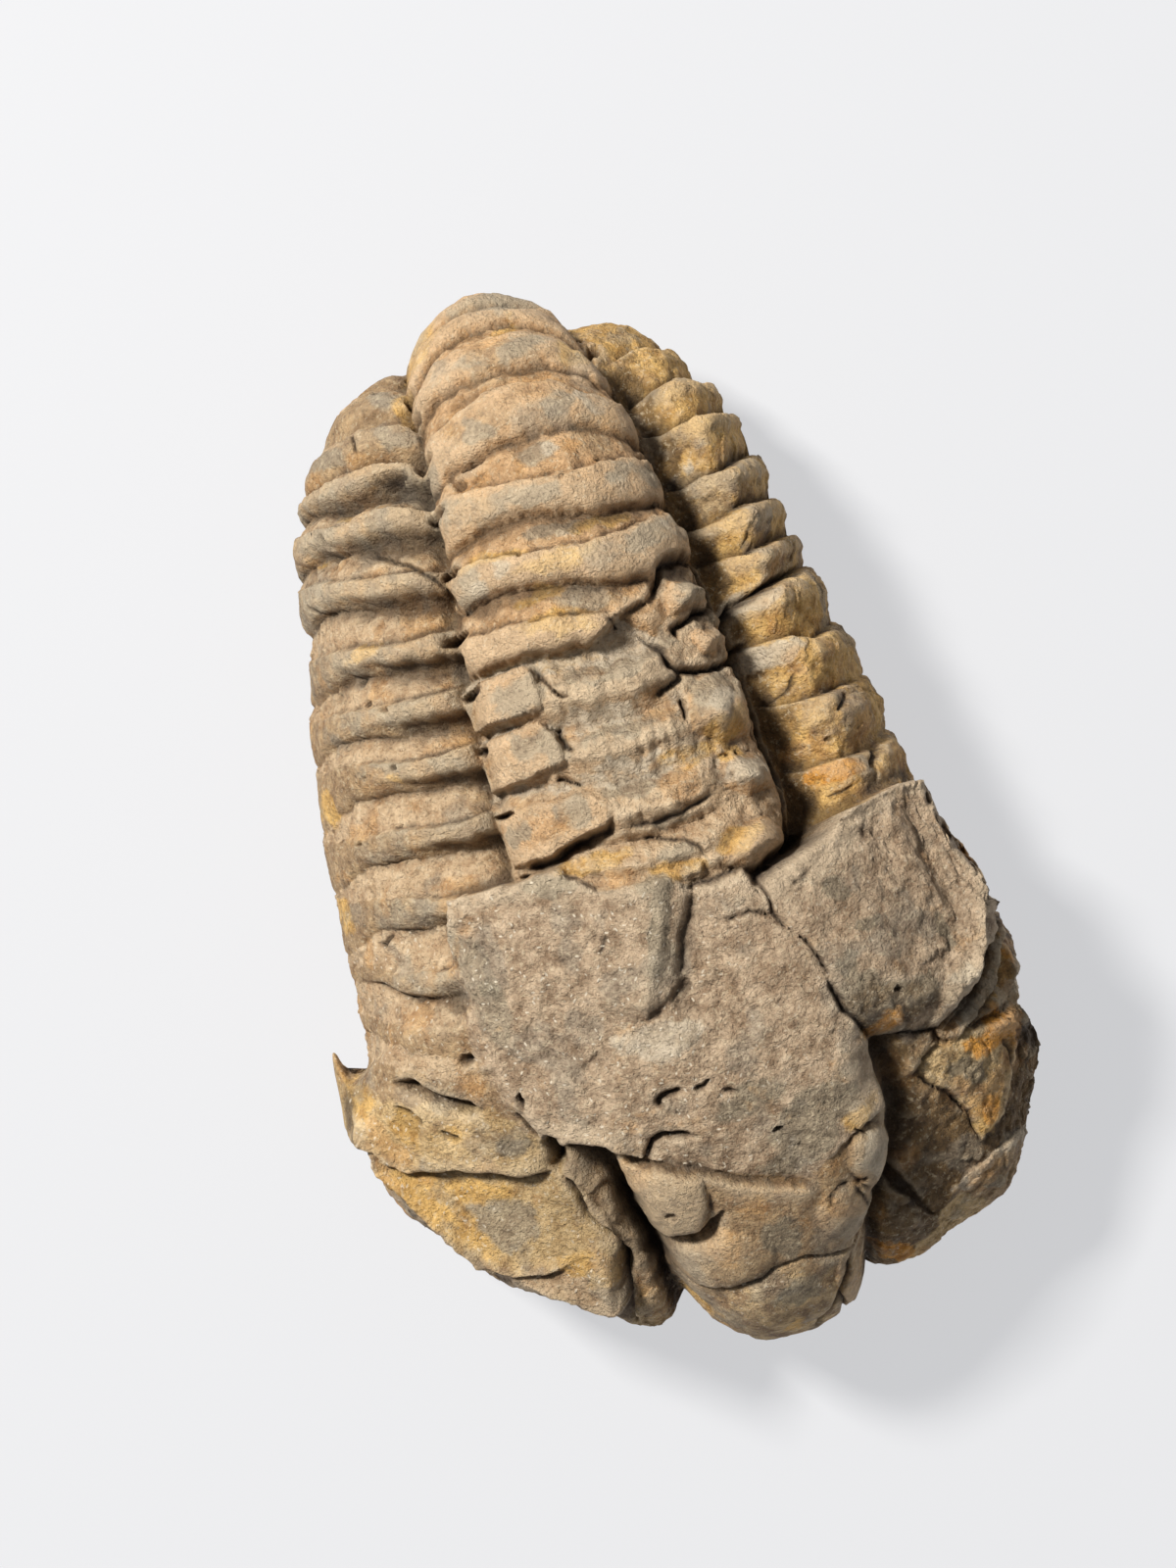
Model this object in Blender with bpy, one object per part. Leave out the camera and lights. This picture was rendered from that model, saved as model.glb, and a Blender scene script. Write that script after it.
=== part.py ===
"""Trilobite fossil: one stone, lying on its belly with its back up.

The head points to -Y, the tail to +Y, the back to +Z, and the flat resting face lies at z = 0.
All the form values below are millimetres, and the finished mesh is scaled to metres.

The stone is a loaf, a domed top over a flat base, with a relief laid on it along its normals:
the raised axis with its rings, the ribs on both flanks, a worn patch across the shoulders, the
head with its cheeks, and the chips and steps where layers have broken away.
"""
import math

import bmesh
import bpy
import numpy as np

# ---------------------------------------------------------------- driving dimensions, mm
MM = 0.001
RIM_HEIGHT = 9.0           # height of the loaf's widest line
CROWN = 15.0               # rise of the smooth dome above that line
DOME_POWER = 3.0           # 2 is an ellipse, more is a flatter top with steeper sides
BELLY_DEPTH = 12.0         # depth of the belly curve; it is cut flat at z = 0
AXIS_RISE = 4.0            # how far the middle lobe stands above the flanks
RIB_DEPTH = 1.5            # groove to crest on the flanks
RING_DEPTH = 1.5           # groove to crest on the axis
SPALL_DEPTH = 1.5          # thickness of the layer that broke off the axis
ROUGHNESS = 0.22           # height of the coarse grain
BEND_START = 17.0          # from here the tail curls down, and its rings run on down the end
BEND_TOP = 17.0            # height where they start to be counted downwards
BEND_RATE = 0.75
GRID = 200                 # points along each side of the two sheets
TARGET_TRIANGLES = 9600

# ---------------------------------------------------------------- landmarks, mm
# The widest line of the loaf, without the two ends of the axis that stand out from it.
OUTLINE = [
    (0.0, 33.2), (5.8, 32.8), (8.8, 31.7), (11.2, 29.7), (13.1, 27.3), (14.6, 24.6), (15.5, 21.9),
    (16.0, 18.6), (16.8, 14.5), (17.6, 10.5), (18.4, 6.3), (19.2, 2.1), (19.9, -1.8), (20.6, -5.0),
    (21.9, -8.8), (22.6, -11.5), (23.6, -14.5), (23.4, -17.3), (22.6, -19.6), (23.4, -22.2),
    (22.6, -24.8), (21.3, -27.2), (20.4, -30.0), (18.6, -32.3), (15.0, -33.6), (11.0, -34.7),
    (8.2, -34.4), (4.5, -34.0), (0.0, -33.9), (-4.2, -33.2), (-7.0, -34.0), (-9.0, -33.2),
    (-10.6, -31.8), (-13.6, -30.0), (-17.0, -27.7), (-19.4, -24.7), (-21.8, -21.6),
    (-22.9, -18.5), (-23.5, -14.8), (-22.8, -12.8), (-20.9, -11.4), (-20.5, -8.0), (-20.2, -4.0),
    (-19.6, 0.0), (-19.4, 3.0), (-18.9, 7.0), (-18.5, 11.0), (-17.3, 14.5), (-16.8, 18.0),
    (-16.3, 22.3), (-15.4, 25.2), (-13.6, 28.0), (-12.1, 30.0), (-10.2, 31.7), (-7.8, 32.8),
    (-5.8, 33.1)]

# The furrows on both sides of the axis, as x at each y.
FURROW_Y = [-37.0, -34.0, -31.0, -28.0, -24.0, -20.0, -12.0, -2.0, 7.0, 15.0, 21.0, 27.0, 32.0, 38.0]
FURROW_LEFT = [-3.2, -4.2, -4.7, -5.1, -6.3, -7.2, -7.8, -7.8, -7.4, -7.0, -6.4, -6.0, -6.0, -5.7]
FURROW_RIGHT = [7.2, 7.8, 8.4, 9.4, 11.6, 11.9, 11.2, 11.3, 10.3, 9.6, 9.0, 8.2, 6.5, 5.7]

# The groove on the head side of each rib, left flank, tail to head.
LEFT_GROOVES = [
    [(-14.0, 31.5), (-6.0, 33.5)],
    [(-14.0, 28.9), (-10.0, 30.2), (-6.0, 29.9)],
    [(-14.0, 27.2), (-12.0, 27.8), (-9.0, 27.6), (-6.0, 26.9)],
    [(-16.2, 25.2), (-15.0, 25.8), (-12.5, 25.2), (-6.0, 25.1)],
    [(-16.9, 21.6), (-14.6, 22.7), (-12.5, 22.1), (-10.5, 21.6), (-7.0, 21.2)],
    [(-17.4, 17.6), (-15.2, 18.7), (-12.0, 17.8), (-7.3, 16.9)],
    [(-18.0, 13.0), (-14.9, 14.1), (-12.5, 13.5), (-7.7, 12.5)],
    [(-18.8, 9.0), (-16.7, 10.1), (-12.5, 9.3), (-8.0, 8.7)],
    [(-19.2, 4.6), (-16.8, 6.0), (-12.5, 5.5), (-8.0, 4.8)],
    [(-19.8, 0.3), (-17.2, 1.6), (-12.5, 1.0), (-7.7, 0.4)],
    [(-20.3, -4.0), (-17.5, -2.7), (-15.3, -3.3), (-13.0, -3.7), (-8.0, -4.2)],
    [(-20.6, -5.2), (-18.5, -6.2), (-17.0, -7.4), (-15.0, -7.9), (-8.0, -8.6)],
    [(-20.8, -8.8), (-17.5, -11.0), (-15.0, -12.0), (-8.0, -13.0)],
    [(-24.0, -12.0), (-18.8, -12.9), (-16.3, -14.8), (-14.0, -16.0), (-8.0, -17.5)]]

# The gaps between the lobes of the right flank, tail to head.
RIGHT_GROOVES = [
    [(6.0, 33.5), (14.0, 31.5)],
    [(7.0, 30.3), (10.5, 30.4), (13.0, 29.5)],
    [(7.8, 27.2), (10.5, 27.8), (12.0, 27.8), (14.0, 27.0)],
    [(8.5, 25.2), (11.5, 24.4), (13.5, 24.3), (15.0, 24.8)],
    [(9.5, 20.9), (11.0, 20.7), (13.0, 20.5), (15.5, 21.4)],
    [(9.5, 17.8), (12.0, 17.5), (14.0, 17.5), (16.2, 18.2)],
    [(10.0, 15.0), (13.0, 14.6), (17.0, 15.3)],
    [(9.8, 10.1), (12.0, 11.4), (13.5, 12.0), (17.2, 13.2)],
    [(10.0, 8.2), (12.5, 8.8), (14.3, 8.8), (16.5, 8.1), (18.2, 9.0)],
    [(10.5, 4.9), (14.0, 4.4), (16.5, 4.4), (18.8, 4.9)],
    [(11.0, 0.3), (13.0, 0.0), (17.8, 0.0), (19.6, 0.9)],
    [(11.0, -4.5), (14.0, -3.7), (17.5, -2.9), (20.5, -3.2)],
    [(11.0, -8.6), (22.0, -7.4)],
    [(11.0, -12.6), (22.0, -11.6)]]

# The groove on the head side of each ring of the axis, tail to head.
AXIS_GROOVES = [
    [(-5.2, 31.8), (-3.5, 33.2), (-1.0, 34.2), (1.5, 34.3), (3.5, 33.6), (5.5, 32.2)],
    [(-5.8, 29.7), (-4.2, 30.2), (1.0, 30.6), (3.5, 30.3), (5.2, 29.4), (6.6, 28.0)],
    [(-5.3, 26.6), (-3.6, 26.1), (1.5, 25.9), (5.5, 25.8), (7.2, 25.0)],
    [(-5.5, 23.2), (-3.0, 23.4), (2.0, 22.7), (6.0, 22.8), (7.6, 22.0)],
    [(-6.0, 19.9), (-3.5, 20.6), (-1.5, 20.7), (0.5, 20.6), (4.0, 19.7), (7.2, 19.0), (9.0, 18.2)],
    [(-6.5, 16.0), (-3.5, 16.2), (-1.5, 16.1), (0.5, 15.7), (4.5, 14.5), (9.0, 13.6)],
    [(-8.0, 11.6), (-3.0, 11.9), (1.0, 11.4), (4.5, 10.9), (9.0, 10.4)]]
BELOW_AXIS_GROOVES = [38.0, 41.2, 44.4, 47.6]            # rings that run on down the tail's end
BELOW_FLANK_GROOVES = [36.5, 40.0, 43.5]

# Where the broken layer is still in place beside the bared middle of the axis.
LEFT_BLOCKS = [
    [(-7.6, 11.0), (-3.4, 11.4), (-2.9, 10.4), (-2.9, 8.3), (-7.6, 8.2)],
    [(-7.6, 7.3), (-3.2, 7.6), (-2.5, 6.6), (-2.5, 4.4), (-4.5, 4.2), (-7.6, 4.1)],
    [(-7.6, 1.9), (-3.0, 2.1), (-1.6, 2.0), (-0.8, 1.6), (-0.8, 0.2), (-3.8, 0.0), (-7.6, -0.7)]]
RIGHT_BLOCKS = [
    [(6.4, 13.0), (7.2, 14.3), (8.6, 14.0), (9.8, 12.6), (8.6, 12.0), (6.6, 12.0)],
    [(8.0, 10.6), (8.9, 10.3), (10.0, 9.3), (8.6, 8.5), (7.9, 9.2)],
    [(6.3, 6.8), (7.4, 7.6), (9.4, 7.0), (10.1, 5.0), (9.9, 3.0), (8.6, 2.9), (6.4, 3.4)],
    [(6.9, 1.2), (7.6, 2.3), (8.9, 2.3), (10.3, 1.2), (10.4, 0.0), (9.4, -0.9), (7.0, -0.4)],
    [(6.0, -4.2), (7.0, -2.8), (8.6, -2.1), (10.0, -2.9), (11.0, -4.2), (8.0, -5.3)]]
BARED_AXIS = [(-7.9, 11.6), (-3.0, 11.9), (1.0, 11.4), (4.5, 11.0), (6.2, 13.4), (6.9, 15.3), (9.7, 15.2),
              (10.9, 8.0), (11.0, 0.0), (11.4, -4.8), (8.0, -6.0), (2.6, -5.0), (-2.6, -4.0),
              (-4.8, -2.0), (-8.2, -2.0)]
BARED_RIDGES = [9.3, 5.5, 1.6, -2.0]                     # low bands left on the bared middle
BARED_SAG = 0.7                                          # how far they sag towards the head

# The worn patch across the shoulders, and the step between its two slabs.
PATCH = [(-12.0, -2.0), (-4.8, -2.0), (-3.5, -3.0), (-2.5, -4.1), (2.2, -4.5), (2.9, -5.3),
         (6.8, -5.1), (7.5, -6.0), (10.8, -5.0), (14.0, -3.6), (17.5, -2.8), (21.0, -3.2),
         (23.5, -10.0), (22.0, -14.0), (19.6, -16.8), (16.6, -15.4), (13.5, -14.6), (10.9, -15.2),
         (11.8, -18.3), (11.8, -22.0), (5.0, -26.0), (-2.0, -23.2), (-7.0, -20.4),
         (-10.5, -19.0), (-12.2, -16.2), (-13.6, -12.4), (-14.2, -8.0), (-13.2, -4.0)]
RAISED_SLAB = [(-13.0, -1.0), (2.6, -4.0), (3.3, -6.0), (1.6, -9.0), (1.0, -10.8), (-1.2, -11.6),
               (-8.0, -14.0), (-14.0, -12.0)]
SLAB_STEP = 1.1

# The head.
CHEEK_FURROW = [(-24.5, -17.6), (-20.5, -18.8), (-17.0, -19.4), (-14.9, -20.1), (-13.0, -20.9),
                (-10.4, -21.2)]
CHEEK_SLIT = [(-19.2, -12.8), (-17.3, -14.0), (-15.5, -15.5), (-13.9, -16.0)]
HEAD_FURROW = [(-10.2, -19.2), (-6.4, -19.8), (-6.6, -21.5), (-6.1, -25.2), (-5.2, -27.2),
               (-4.7, -30.5), (-4.3, -33.6), (-6.4, -34.6), (-8.6, -33.2), (-8.6, -31.2),
               (-7.5, -28.6), (-8.2, -26.0), (-8.6, -22.0)]
LOBE_STEP = [(-6.9, -20.6), (-5.0, -22.3), (-2.0, -23.4), (0.6, -24.6), (2.5, -25.2), (5.0, -26.2)]
LOBE_HOLLOW = [(-4.4, -27.6), (-3.0, -28.1), (-1.8, -27.8), (-0.6, -26.8)]
FRONT_FURROW = [(-4.6, -29.8), (-2.3, -31.2), (0.5, -31.8), (4.0, -31.9), (7.6, -31.8)]
SIDE_LOBE = (-4.2, -24.9, 2.6)                           # x, y and radius
RIGHT_LOBES = [(10.2, -25.8, 1.5), (8.2, -25.2, 1.4), (7.6, -28.7, 1.6)]

# The right cheek is broken down in flakes: outline, drop, and fall per mm along x and y.
FLAKES = [
    ([(10.9, -15.2), (13.5, -14.6), (16.6, -15.4), (19.2, -16.8), (16.3, -19.2), (11.8, -18.3)],
     2.2, 0.25, 0.45),
    ([(11.8, -18.3), (16.3, -19.2), (15.7, -20.5), (14.2, -21.8), (11.6, -22.5)], 3.4, 0.1, 0.0),
    ([(11.6, -22.5), (14.2, -21.8), (16.9, -24.8), (17.6, -27.6), (14.0, -30.3), (13.4, -33.0),
      (11.4, -28.5)], 6.2, 0.35, -0.1),
    ([(14.2, -21.8), (16.5, -19.6), (22.2, -19.6), (21.2, -23.0), (19.5, -26.6), (17.6, -27.6),
      (16.9, -24.8)], 4.4, -0.1, 0.1),
    ([(22.2, -19.6), (24.5, -22.0), (22.5, -27.0), (21.0, -28.2), (14.0, -30.5), (17.6, -27.6),
      (19.5, -26.6), (21.2, -23.0)], 6.0, 0.0, 0.0),
    ([(13.6, -30.6), (17.0, -29.3), (21.5, -28.0), (20.5, -31.0), (18.0, -34.0), (13.4, -34.0)],
     4.4, 0.0, 0.0),
    ([(8.0, -35.0), (8.3, -31.0), (9.4, -27.8), (10.4, -28.0), (11.2, -30.5), (13.2, -33.4),
      (11.0, -36.0)], 4.0, 0.0, 0.0)]
FLAKE_SLIT = [(10.2, -27.8), (11.8, -30.3), (13.4, -32.8)]
RIM_SLIT = [(22.6, -12.2), (21.2, -15.0), (19.8, -16.8), (17.5, -18.1), (16.2, -19.4)]

SPINE_ROOT = (-23.0, -13.6)                              # the left cheek ends in a short spine
SPINE_LENGTH = 3.6
SPINE_WIDTH = 0.9


# ---------------------------------------------------------------- small helpers
def ramp(low, high, value):
    """0 at low, 1 at high, smooth between them."""
    t = np.clip((value - low) / (high - low), 0.0, 1.0)
    return t * t * (3.0 - 2.0 * t)


def distance(x, y, points, closed=False):
    """Distance from each place to a line through the points."""
    ends = points[1:] + points[:1] if closed else points[1:]
    nearest = np.full(x.shape, 1.0e3)
    for (x0, y0), (x1, y1) in zip(points, ends):
        run, rise = x1 - x0, y1 - y0
        part = np.clip(((x - x0) * run + (y - y0) * rise) / (run * run + rise * rise), 0.0, 1.0)
        nearest = np.minimum(nearest, np.hypot(x - x0 - part * run, y - y0 - part * rise))
    return nearest


def inside(x, y, points, edge):
    """1 within the outline, 0 outside it, over an edge of that width."""
    within = np.zeros(x.shape, dtype=bool)
    for (x0, y0), (x1, y1) in zip(points, points[1:] + points[:1]):
        if y0 != y1:
            within ^= ((y0 > y) != (y1 > y)) & (x < (x1 - x0) * (y - y0) / (y1 - y0) + x0)
    gap = distance(x, y, points, closed=True)
    return ramp(-edge, edge, np.where(within, gap, -gap))


def groove(x, y, points, width):
    """1 along the line, falling to 0 over the width."""
    return np.exp(-(distance(x, y, points) / width) ** 2)


def mound(x, y, centre):
    """A round swelling, 1 in the middle and 0 from its radius outwards."""
    cx, cy, radius = centre
    return np.sqrt(np.clip(1.0 - ((x - cx) ** 2 + (y - cy) ** 2) / radius ** 2, 0.0, 1.0))


LATTICE = np.random.default_rng(7).uniform(-1.0, 1.0, (32, 32, 32))


def grain(points, size):
    """Smooth seeded noise between -1 and 1, with lumps of about that size."""
    cell = np.floor(points / size).astype(int)
    part = points / size - cell
    part = part * part * (3.0 - 2.0 * part)
    total = np.zeros(len(points))
    for corner in np.ndindex(2, 2, 2):
        weight = np.prod(np.where(corner, part, 1.0 - part), axis=1)
        a, b, c = ((cell + corner) % 32).T
        total += weight * LATTICE[a, b, c]
    return total


def rounded(points, samples):
    """A closed curve through the points (Catmull-Rom)."""
    knots = np.array(points)
    t = np.linspace(0.0, 1.0, samples, endpoint=False)[:, None]
    before, after, beyond = np.roll(knots, 1, 0), np.roll(knots, -1, 0), np.roll(knots, -2, 0)
    spans = [0.5 * ((2 * b) + (c - a) * t + (2 * a - 5 * b + 4 * c - d) * t ** 2
                    + (3 * b - a - 3 * c + d) * t ** 3)
             for a, b, c, d in zip(before, knots, after, beyond)]
    return np.concatenate(spans)


# ---------------------------------------------------------------- the smooth loaf
def outline_radius(angle):
    """Distance from the middle to the widest line, in each direction."""
    ring = rounded(OUTLINE, 12)
    angles = np.arctan2(ring[:, 1], ring[:, 0])
    order = np.argsort(angles)
    return np.interp(angle, angles[order], np.hypot(*ring[order].T), period=2.0 * math.pi)


def profile(depth, power):
    """Reach and height along a quarter of the loaf, at even steps of its surface."""
    reach = 1.0 - (1.0 - np.linspace(0.0, 1.0, 400)) ** 2
    height = (1.0 - reach ** power) ** 0.5
    steps = np.hypot(np.diff(reach) * 26.0, np.diff(height) * depth)
    length = np.concatenate([[0.0], np.cumsum(steps)])
    return length / length[-1], reach, height


def sheet(count):
    """A square grid laid on a disc without crowding: radius 0 to 1, and angle."""
    side = np.linspace(-1.0, 1.0, count)
    u, v = np.meshgrid(side, side, indexing="ij")
    wide = np.abs(u) > np.abs(v)
    radius = np.where(wide, np.abs(u), np.abs(v))
    safe_u, safe_v = np.where(u == 0, 1.0, u), np.where(v == 0, 1.0, v)
    turn = np.where(wide, (math.pi / 4) * v / safe_u, math.pi / 2 - (math.pi / 4) * u / safe_v)
    angle = np.where(wide, np.where(u < 0, math.pi, 0.0), np.where(v < 0, math.pi, 0.0)) + turn
    return radius.ravel(), angle.ravel()


def loaf(count):
    """Points of the top and of the belly, on two grids that share their rim."""
    radius, angle = sheet(count)
    reach_to = outline_radius(angle)
    halves = []
    for depth, power, sign in ((CROWN, DOME_POWER, 1.0), (BELLY_DEPTH, 4.0, -1.0)):
        length, reach, height = profile(depth, power)
        r = np.interp(radius, length, reach)
        z = RIM_HEIGHT + sign * depth * np.interp(radius, length, height)
        halves.append(np.column_stack([r * reach_to * np.cos(angle), r * reach_to * np.sin(angle),
                                       np.maximum(z, 0.0)]))
    return halves


# ---------------------------------------------------------------- the relief on it
def shingle(phase):
    """One rib across: steep head side, round crest, then a band that sinks to the next groove."""
    where = [0.0, 0.06, 0.14, 0.22, 0.32, 0.44, 0.54, 0.62, 0.80, 1.0]
    height = [-1.0, -0.72, -0.25, -0.05, 0.0, -0.10, -0.32, -0.42, -0.66, -1.0]
    return np.interp(phase, where, height)


def pillow(phase):
    """One rounded lobe across, with a narrow gap on each side."""
    return (np.clip(4.0 * phase * (1.0 - phase), 0.0, 1.0) ** 0.45) - 1.0


def between(x, along, lines, shape):
    """The shape repeated between neighbouring lines; flat outside the first and the last."""
    levels = np.array([np.interp(x, *zip(*line)) for line in lines])
    result = np.zeros(x.shape)
    for upper, lower in zip(levels, levels[1:]):
        phase = (along - lower) / (upper - lower)
        held = (phase >= 0.0) & (phase < 1.0)
        result = np.where(held, shape(np.clip(phase, 0.0, 1.0)), result)
    return result


def axis_lines():
    """The grooves of the axis, with those that run on down the end of the tail."""
    hidden = [[(-8.0, level), (8.0, level)] for level in reversed(BELOW_AXIS_GROOVES)]
    return hidden + AXIS_GROOVES


def flank_lines(lines):
    """The grooves of a flank, with those that run on down the end of the tail."""
    middle = 10.0 * math.copysign(1.0, lines[0][0][0])
    hidden = [[(middle - 6.0, level), (middle + 6.0, level)] for level in reversed(BELOW_FLANK_GROOVES)]
    return hidden + lines


def relief(points):
    """How far the surface stands out from the smooth loaf, mm, and how far it drops straight down."""
    x, y, z = points.T
    left, right = (np.interp(y, FURROW_Y, side) for side in (FURROW_LEFT, FURROW_RIGHT))
    middle, half = (left + right) / 2.0, (right - left) / 2.0
    u = np.abs(x - middle) / half
    tail_turn = ramp(0.50, 0.95, (y - BEND_START) / np.hypot(x, y - BEND_START).clip(0.1))
    along = y + tail_turn * np.maximum(0.0, BEND_TOP - z) * BEND_RATE

    # the axis, parabolic at the tail and boxier at the head
    power = np.interp(y, [-30.0, -10.0, 10.0, 32.0], [3.0, 2.6, 2.3, 2.0])
    rise = np.interp(y, [-37.0, -28.0, 0.0, 36.0], [3.3, 3.6, AXIS_RISE, AXIS_RISE])
    fade = np.interp(z, [2.0, RIM_HEIGHT], [0.0, 1.0])
    lobe = np.clip(1.0 - np.minimum(u, 1.0) ** power, 0.0, 1.0) ** 0.85
    out = rise * lobe * fade
    furrow = np.exp(-((u - 1.03) * half / 0.75) ** 2)
    out -= 0.9 * furrow * fade

    # ribs and rings
    on_axis = 1.0 - ramp(0.95, 1.05, u)
    left_ribs = between(x, along, flank_lines(LEFT_GROOVES), shingle) * RIB_DEPTH
    right_ribs = between(x, along, flank_lines(RIGHT_GROOVES), pillow) * RIB_DEPTH
    rings = between(x, along, axis_lines(), shingle) * RING_DEPTH
    rings *= 1.0 - 0.35 * ramp(22.0, 26.0, y)
    flank = np.where(x < middle, left_ribs, right_ribs) * (1.0 - 0.85 * tail_turn * ramp(16.0, 9.0, z))
    flank *= ramp(-12.5, -9.0, y) * (0.35 + 0.65 * ramp(3.0, 8.0, z))
    carving = np.where(y > -17.0, on_axis * rings * ramp(10.2, 11.0, y) + (1.0 - on_axis) * flank, 0.0)

    # the middle of the axis, where a layer has broken away between blocks that stayed
    bared = inside(x, y, BARED_AXIS, 0.25)
    kept = np.zeros(x.shape)
    for block in LEFT_BLOCKS + RIGHT_BLOCKS:
        kept = np.maximum(kept, inside(x, y, block, 0.3))
    sag = BARED_SAG * (1.0 - ((x - 2.5) / 6.0) ** 2)
    bands = np.zeros(x.shape)
    for level in BARED_RIDGES:
        bands = np.maximum(bands, 0.55 * np.exp(-((y + sag - level) / 0.95) ** 2))
    floor = -SPALL_DEPTH + bands
    carving = carving * (1.0 - bared) + bared * (floor * (1.0 - kept) + kept * -0.1)

    # the worn patch, flush with the crests, in two slabs
    patch = inside(x, y, PATCH, 0.5) * ramp(11.0, 15.0, z)
    level_top = np.interp(x, [-14.0, -8.0, 0.0, 8.0, 14.0, 22.0], [0.0, 2.0, 3.6, 3.0, 1.6, 0.5])
    level_top += SLAB_STEP * (inside(x, y, RAISED_SLAB, 0.5) - 0.5) * ramp(-14.0, -9.0, x)
    out = out * (1.0 - patch) + level_top * patch
    carving *= 1.0 - patch

    # the head: steps, hollows and swellings
    steps = 1.0 * groove(x, y, CHEEK_FURROW, 0.9) + 1.6 * groove(x, y, CHEEK_SLIT, 0.45)
    steps += 1.2 * groove(x, y, LOBE_HOLLOW, 0.5) + 0.7 * groove(x, y, FRONT_FURROW, 0.6)
    steps += 0.8 * groove(x, y, LOBE_STEP, 0.6)
    carving -= steps
    carving += 1.1 * mound(x, y, SIDE_LOBE)
    for lobe_at in RIGHT_LOBES:
        carving += 0.7 * mound(x, y, lobe_at)

    # what drops straight down: the deep furrow of the head, and the flakes of the right cheek
    drop = 4.5 * inside(x, y, HEAD_FURROW, 0.5)
    for shape, depth, fall_x, fall_y in FLAKES:
        held = inside(x, y, shape, 0.35)
        cx, cy = np.mean(shape, axis=0)
        level = depth - fall_x * (x - cx) - fall_y * (y - cy)
        drop = drop * (1.0 - held) + level * held
    drop += 1.5 * groove(x, y, FLAKE_SLIT, 0.5) + 2.2 * groove(x, y, RIM_SLIT, 0.5)
    spread = np.hypot(x, y) / outline_radius(np.arctan2(y, x))
    drop *= 1.0 - 0.75 * ramp(0.8, 1.0, spread)
    drop *= ramp(RIM_HEIGHT - 2.0, RIM_HEIGHT + 4.0, z)

    coarse = ROUGHNESS * (grain(points, 3.1) + 0.6 * grain(points + 50.0, 1.5))
    side = ramp(0.5, 4.0, z)
    return (out + carving * side) + coarse * ramp(0.0, 1.5, z), drop


def pull_spine(points):
    """Draws the point of the left cheek out into its spine."""
    x, y, z = points.T
    near = np.exp(-((x - SPINE_ROOT[0]) / SPINE_WIDTH) ** 2 - ((y - SPINE_ROOT[1]) / 1.0) ** 2)
    near *= np.exp(-((z - RIM_HEIGHT - 1.5) / 3.0) ** 2)
    moved = points.copy()
    moved[:, 1] += SPINE_LENGTH * near
    return moved


# ---------------------------------------------------------------- the solid
def grid_faces(count, first, flip, rim):
    """Quads of one sheet; rim maps a border point to the shared one."""
    index = rim(np.arange(count * count) + first)
    index = index.reshape(count, count)
    quads = np.stack([index[:-1, :-1], index[1:, :-1], index[1:, 1:], index[:-1, 1:]], axis=-1)
    quads = quads.reshape(-1, 4)
    return quads[:, ::-1] if flip else quads


def stone_mesh(name, count):
    """The whole stone as one closed mesh, in mm."""
    top, belly = loaf(count)
    border = np.ones((count, count), dtype=bool)
    border[1:-1, 1:-1] = False
    border = np.tile(border.ravel(), 2)
    loaf_points = np.concatenate([top, belly])

    grid = loaf_points.reshape(2, count, count, 3)
    across = np.gradient(grid, axis=1)
    down = np.gradient(grid, axis=2)
    normal = np.cross(across, down)
    normal[1] *= -1.0
    normal[:, 0, :], normal[:, -1, :], normal[:, :, 0], normal[:, :, -1] = 0, 0, 0, 0
    normal = normal.reshape(-1, 3)
    outward = loaf_points * (1.0, 1.0, 0.0)
    normal[border] = outward[border]
    normal /= np.linalg.norm(normal, axis=1)[:, None].clip(1.0e-9)

    out, drop = relief(loaf_points)
    shaped = loaf_points + normal * out[:, None]
    shaped[:, 2] -= drop
    shaped = pull_spine(shaped)
    flat = (loaf_points[:, 2] <= 0.0)
    shaped[flat] = loaf_points[flat]
    shaped[:, 2] = np.maximum(shaped[:, 2], 0.0)

    half = count * count

    def rim(index):
        shared = (index >= half) & border[index]
        return np.where(shared, index - half, index)

    faces = np.concatenate([grid_faces(count, 0, False, rim), grid_faces(count, half, True, rim)])
    mesh = bpy.data.meshes.new(name)
    mesh.from_pydata(shaped.tolist(), [], faces.tolist())
    return mesh


def centre_on_base(mesh):
    """Moves the mesh so that its box is centred over the origin and stands on z = 0."""
    points = np.array([v.co for v in mesh.vertices])
    middle = (points.min(axis=0) + points.max(axis=0)) / 2.0
    middle[2] = points[:, 2].min()
    for vertex, place in zip(mesh.vertices, (points - middle) * MM):
        vertex.co = place


def mudstone():
    """Pale brown, dull, close-grained stone."""
    material = bpy.data.materials.new("mudstone")
    material.use_nodes = True
    shader = material.node_tree.nodes["Principled BSDF"]
    shader.inputs["Base Color"].default_value = (0.32, 0.22, 0.13, 1.0)
    shader.inputs["Roughness"].default_value = 0.85
    shader.inputs["Metallic"].default_value = 0.0
    return material


def trilobite_fossil():
    mesh = stone_mesh("trilobite_fossil", GRID)
    work = bmesh.new()
    work.from_mesh(mesh)
    loose = [v for v in work.verts if not v.link_faces]
    bmesh.ops.delete(work, geom=loose, context="VERTS")
    bmesh.ops.triangulate(work, faces=work.faces[:])
    bmesh.ops.recalc_face_normals(work, faces=work.faces[:])
    triangles = len(work.faces)
    work.to_mesh(mesh)
    work.free()
    centre_on_base(mesh)
    stone = bpy.data.objects.new("trilobite_fossil", mesh)
    bpy.context.collection.objects.link(stone)
    mesh.materials.append(mudstone())
    soften = stone.modifiers.new("soften", "SMOOTH")
    soften.factor, soften.iterations = 0.5, 2
    fewer = stone.modifiers.new("fewer_faces", "DECIMATE")
    fewer.ratio = TARGET_TRIANGLES / triangles
    return stone


def main():
    for item in list(bpy.data.objects):
        bpy.data.objects.remove(item, do_unlink=True)
    trilobite_fossil()


main()
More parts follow.
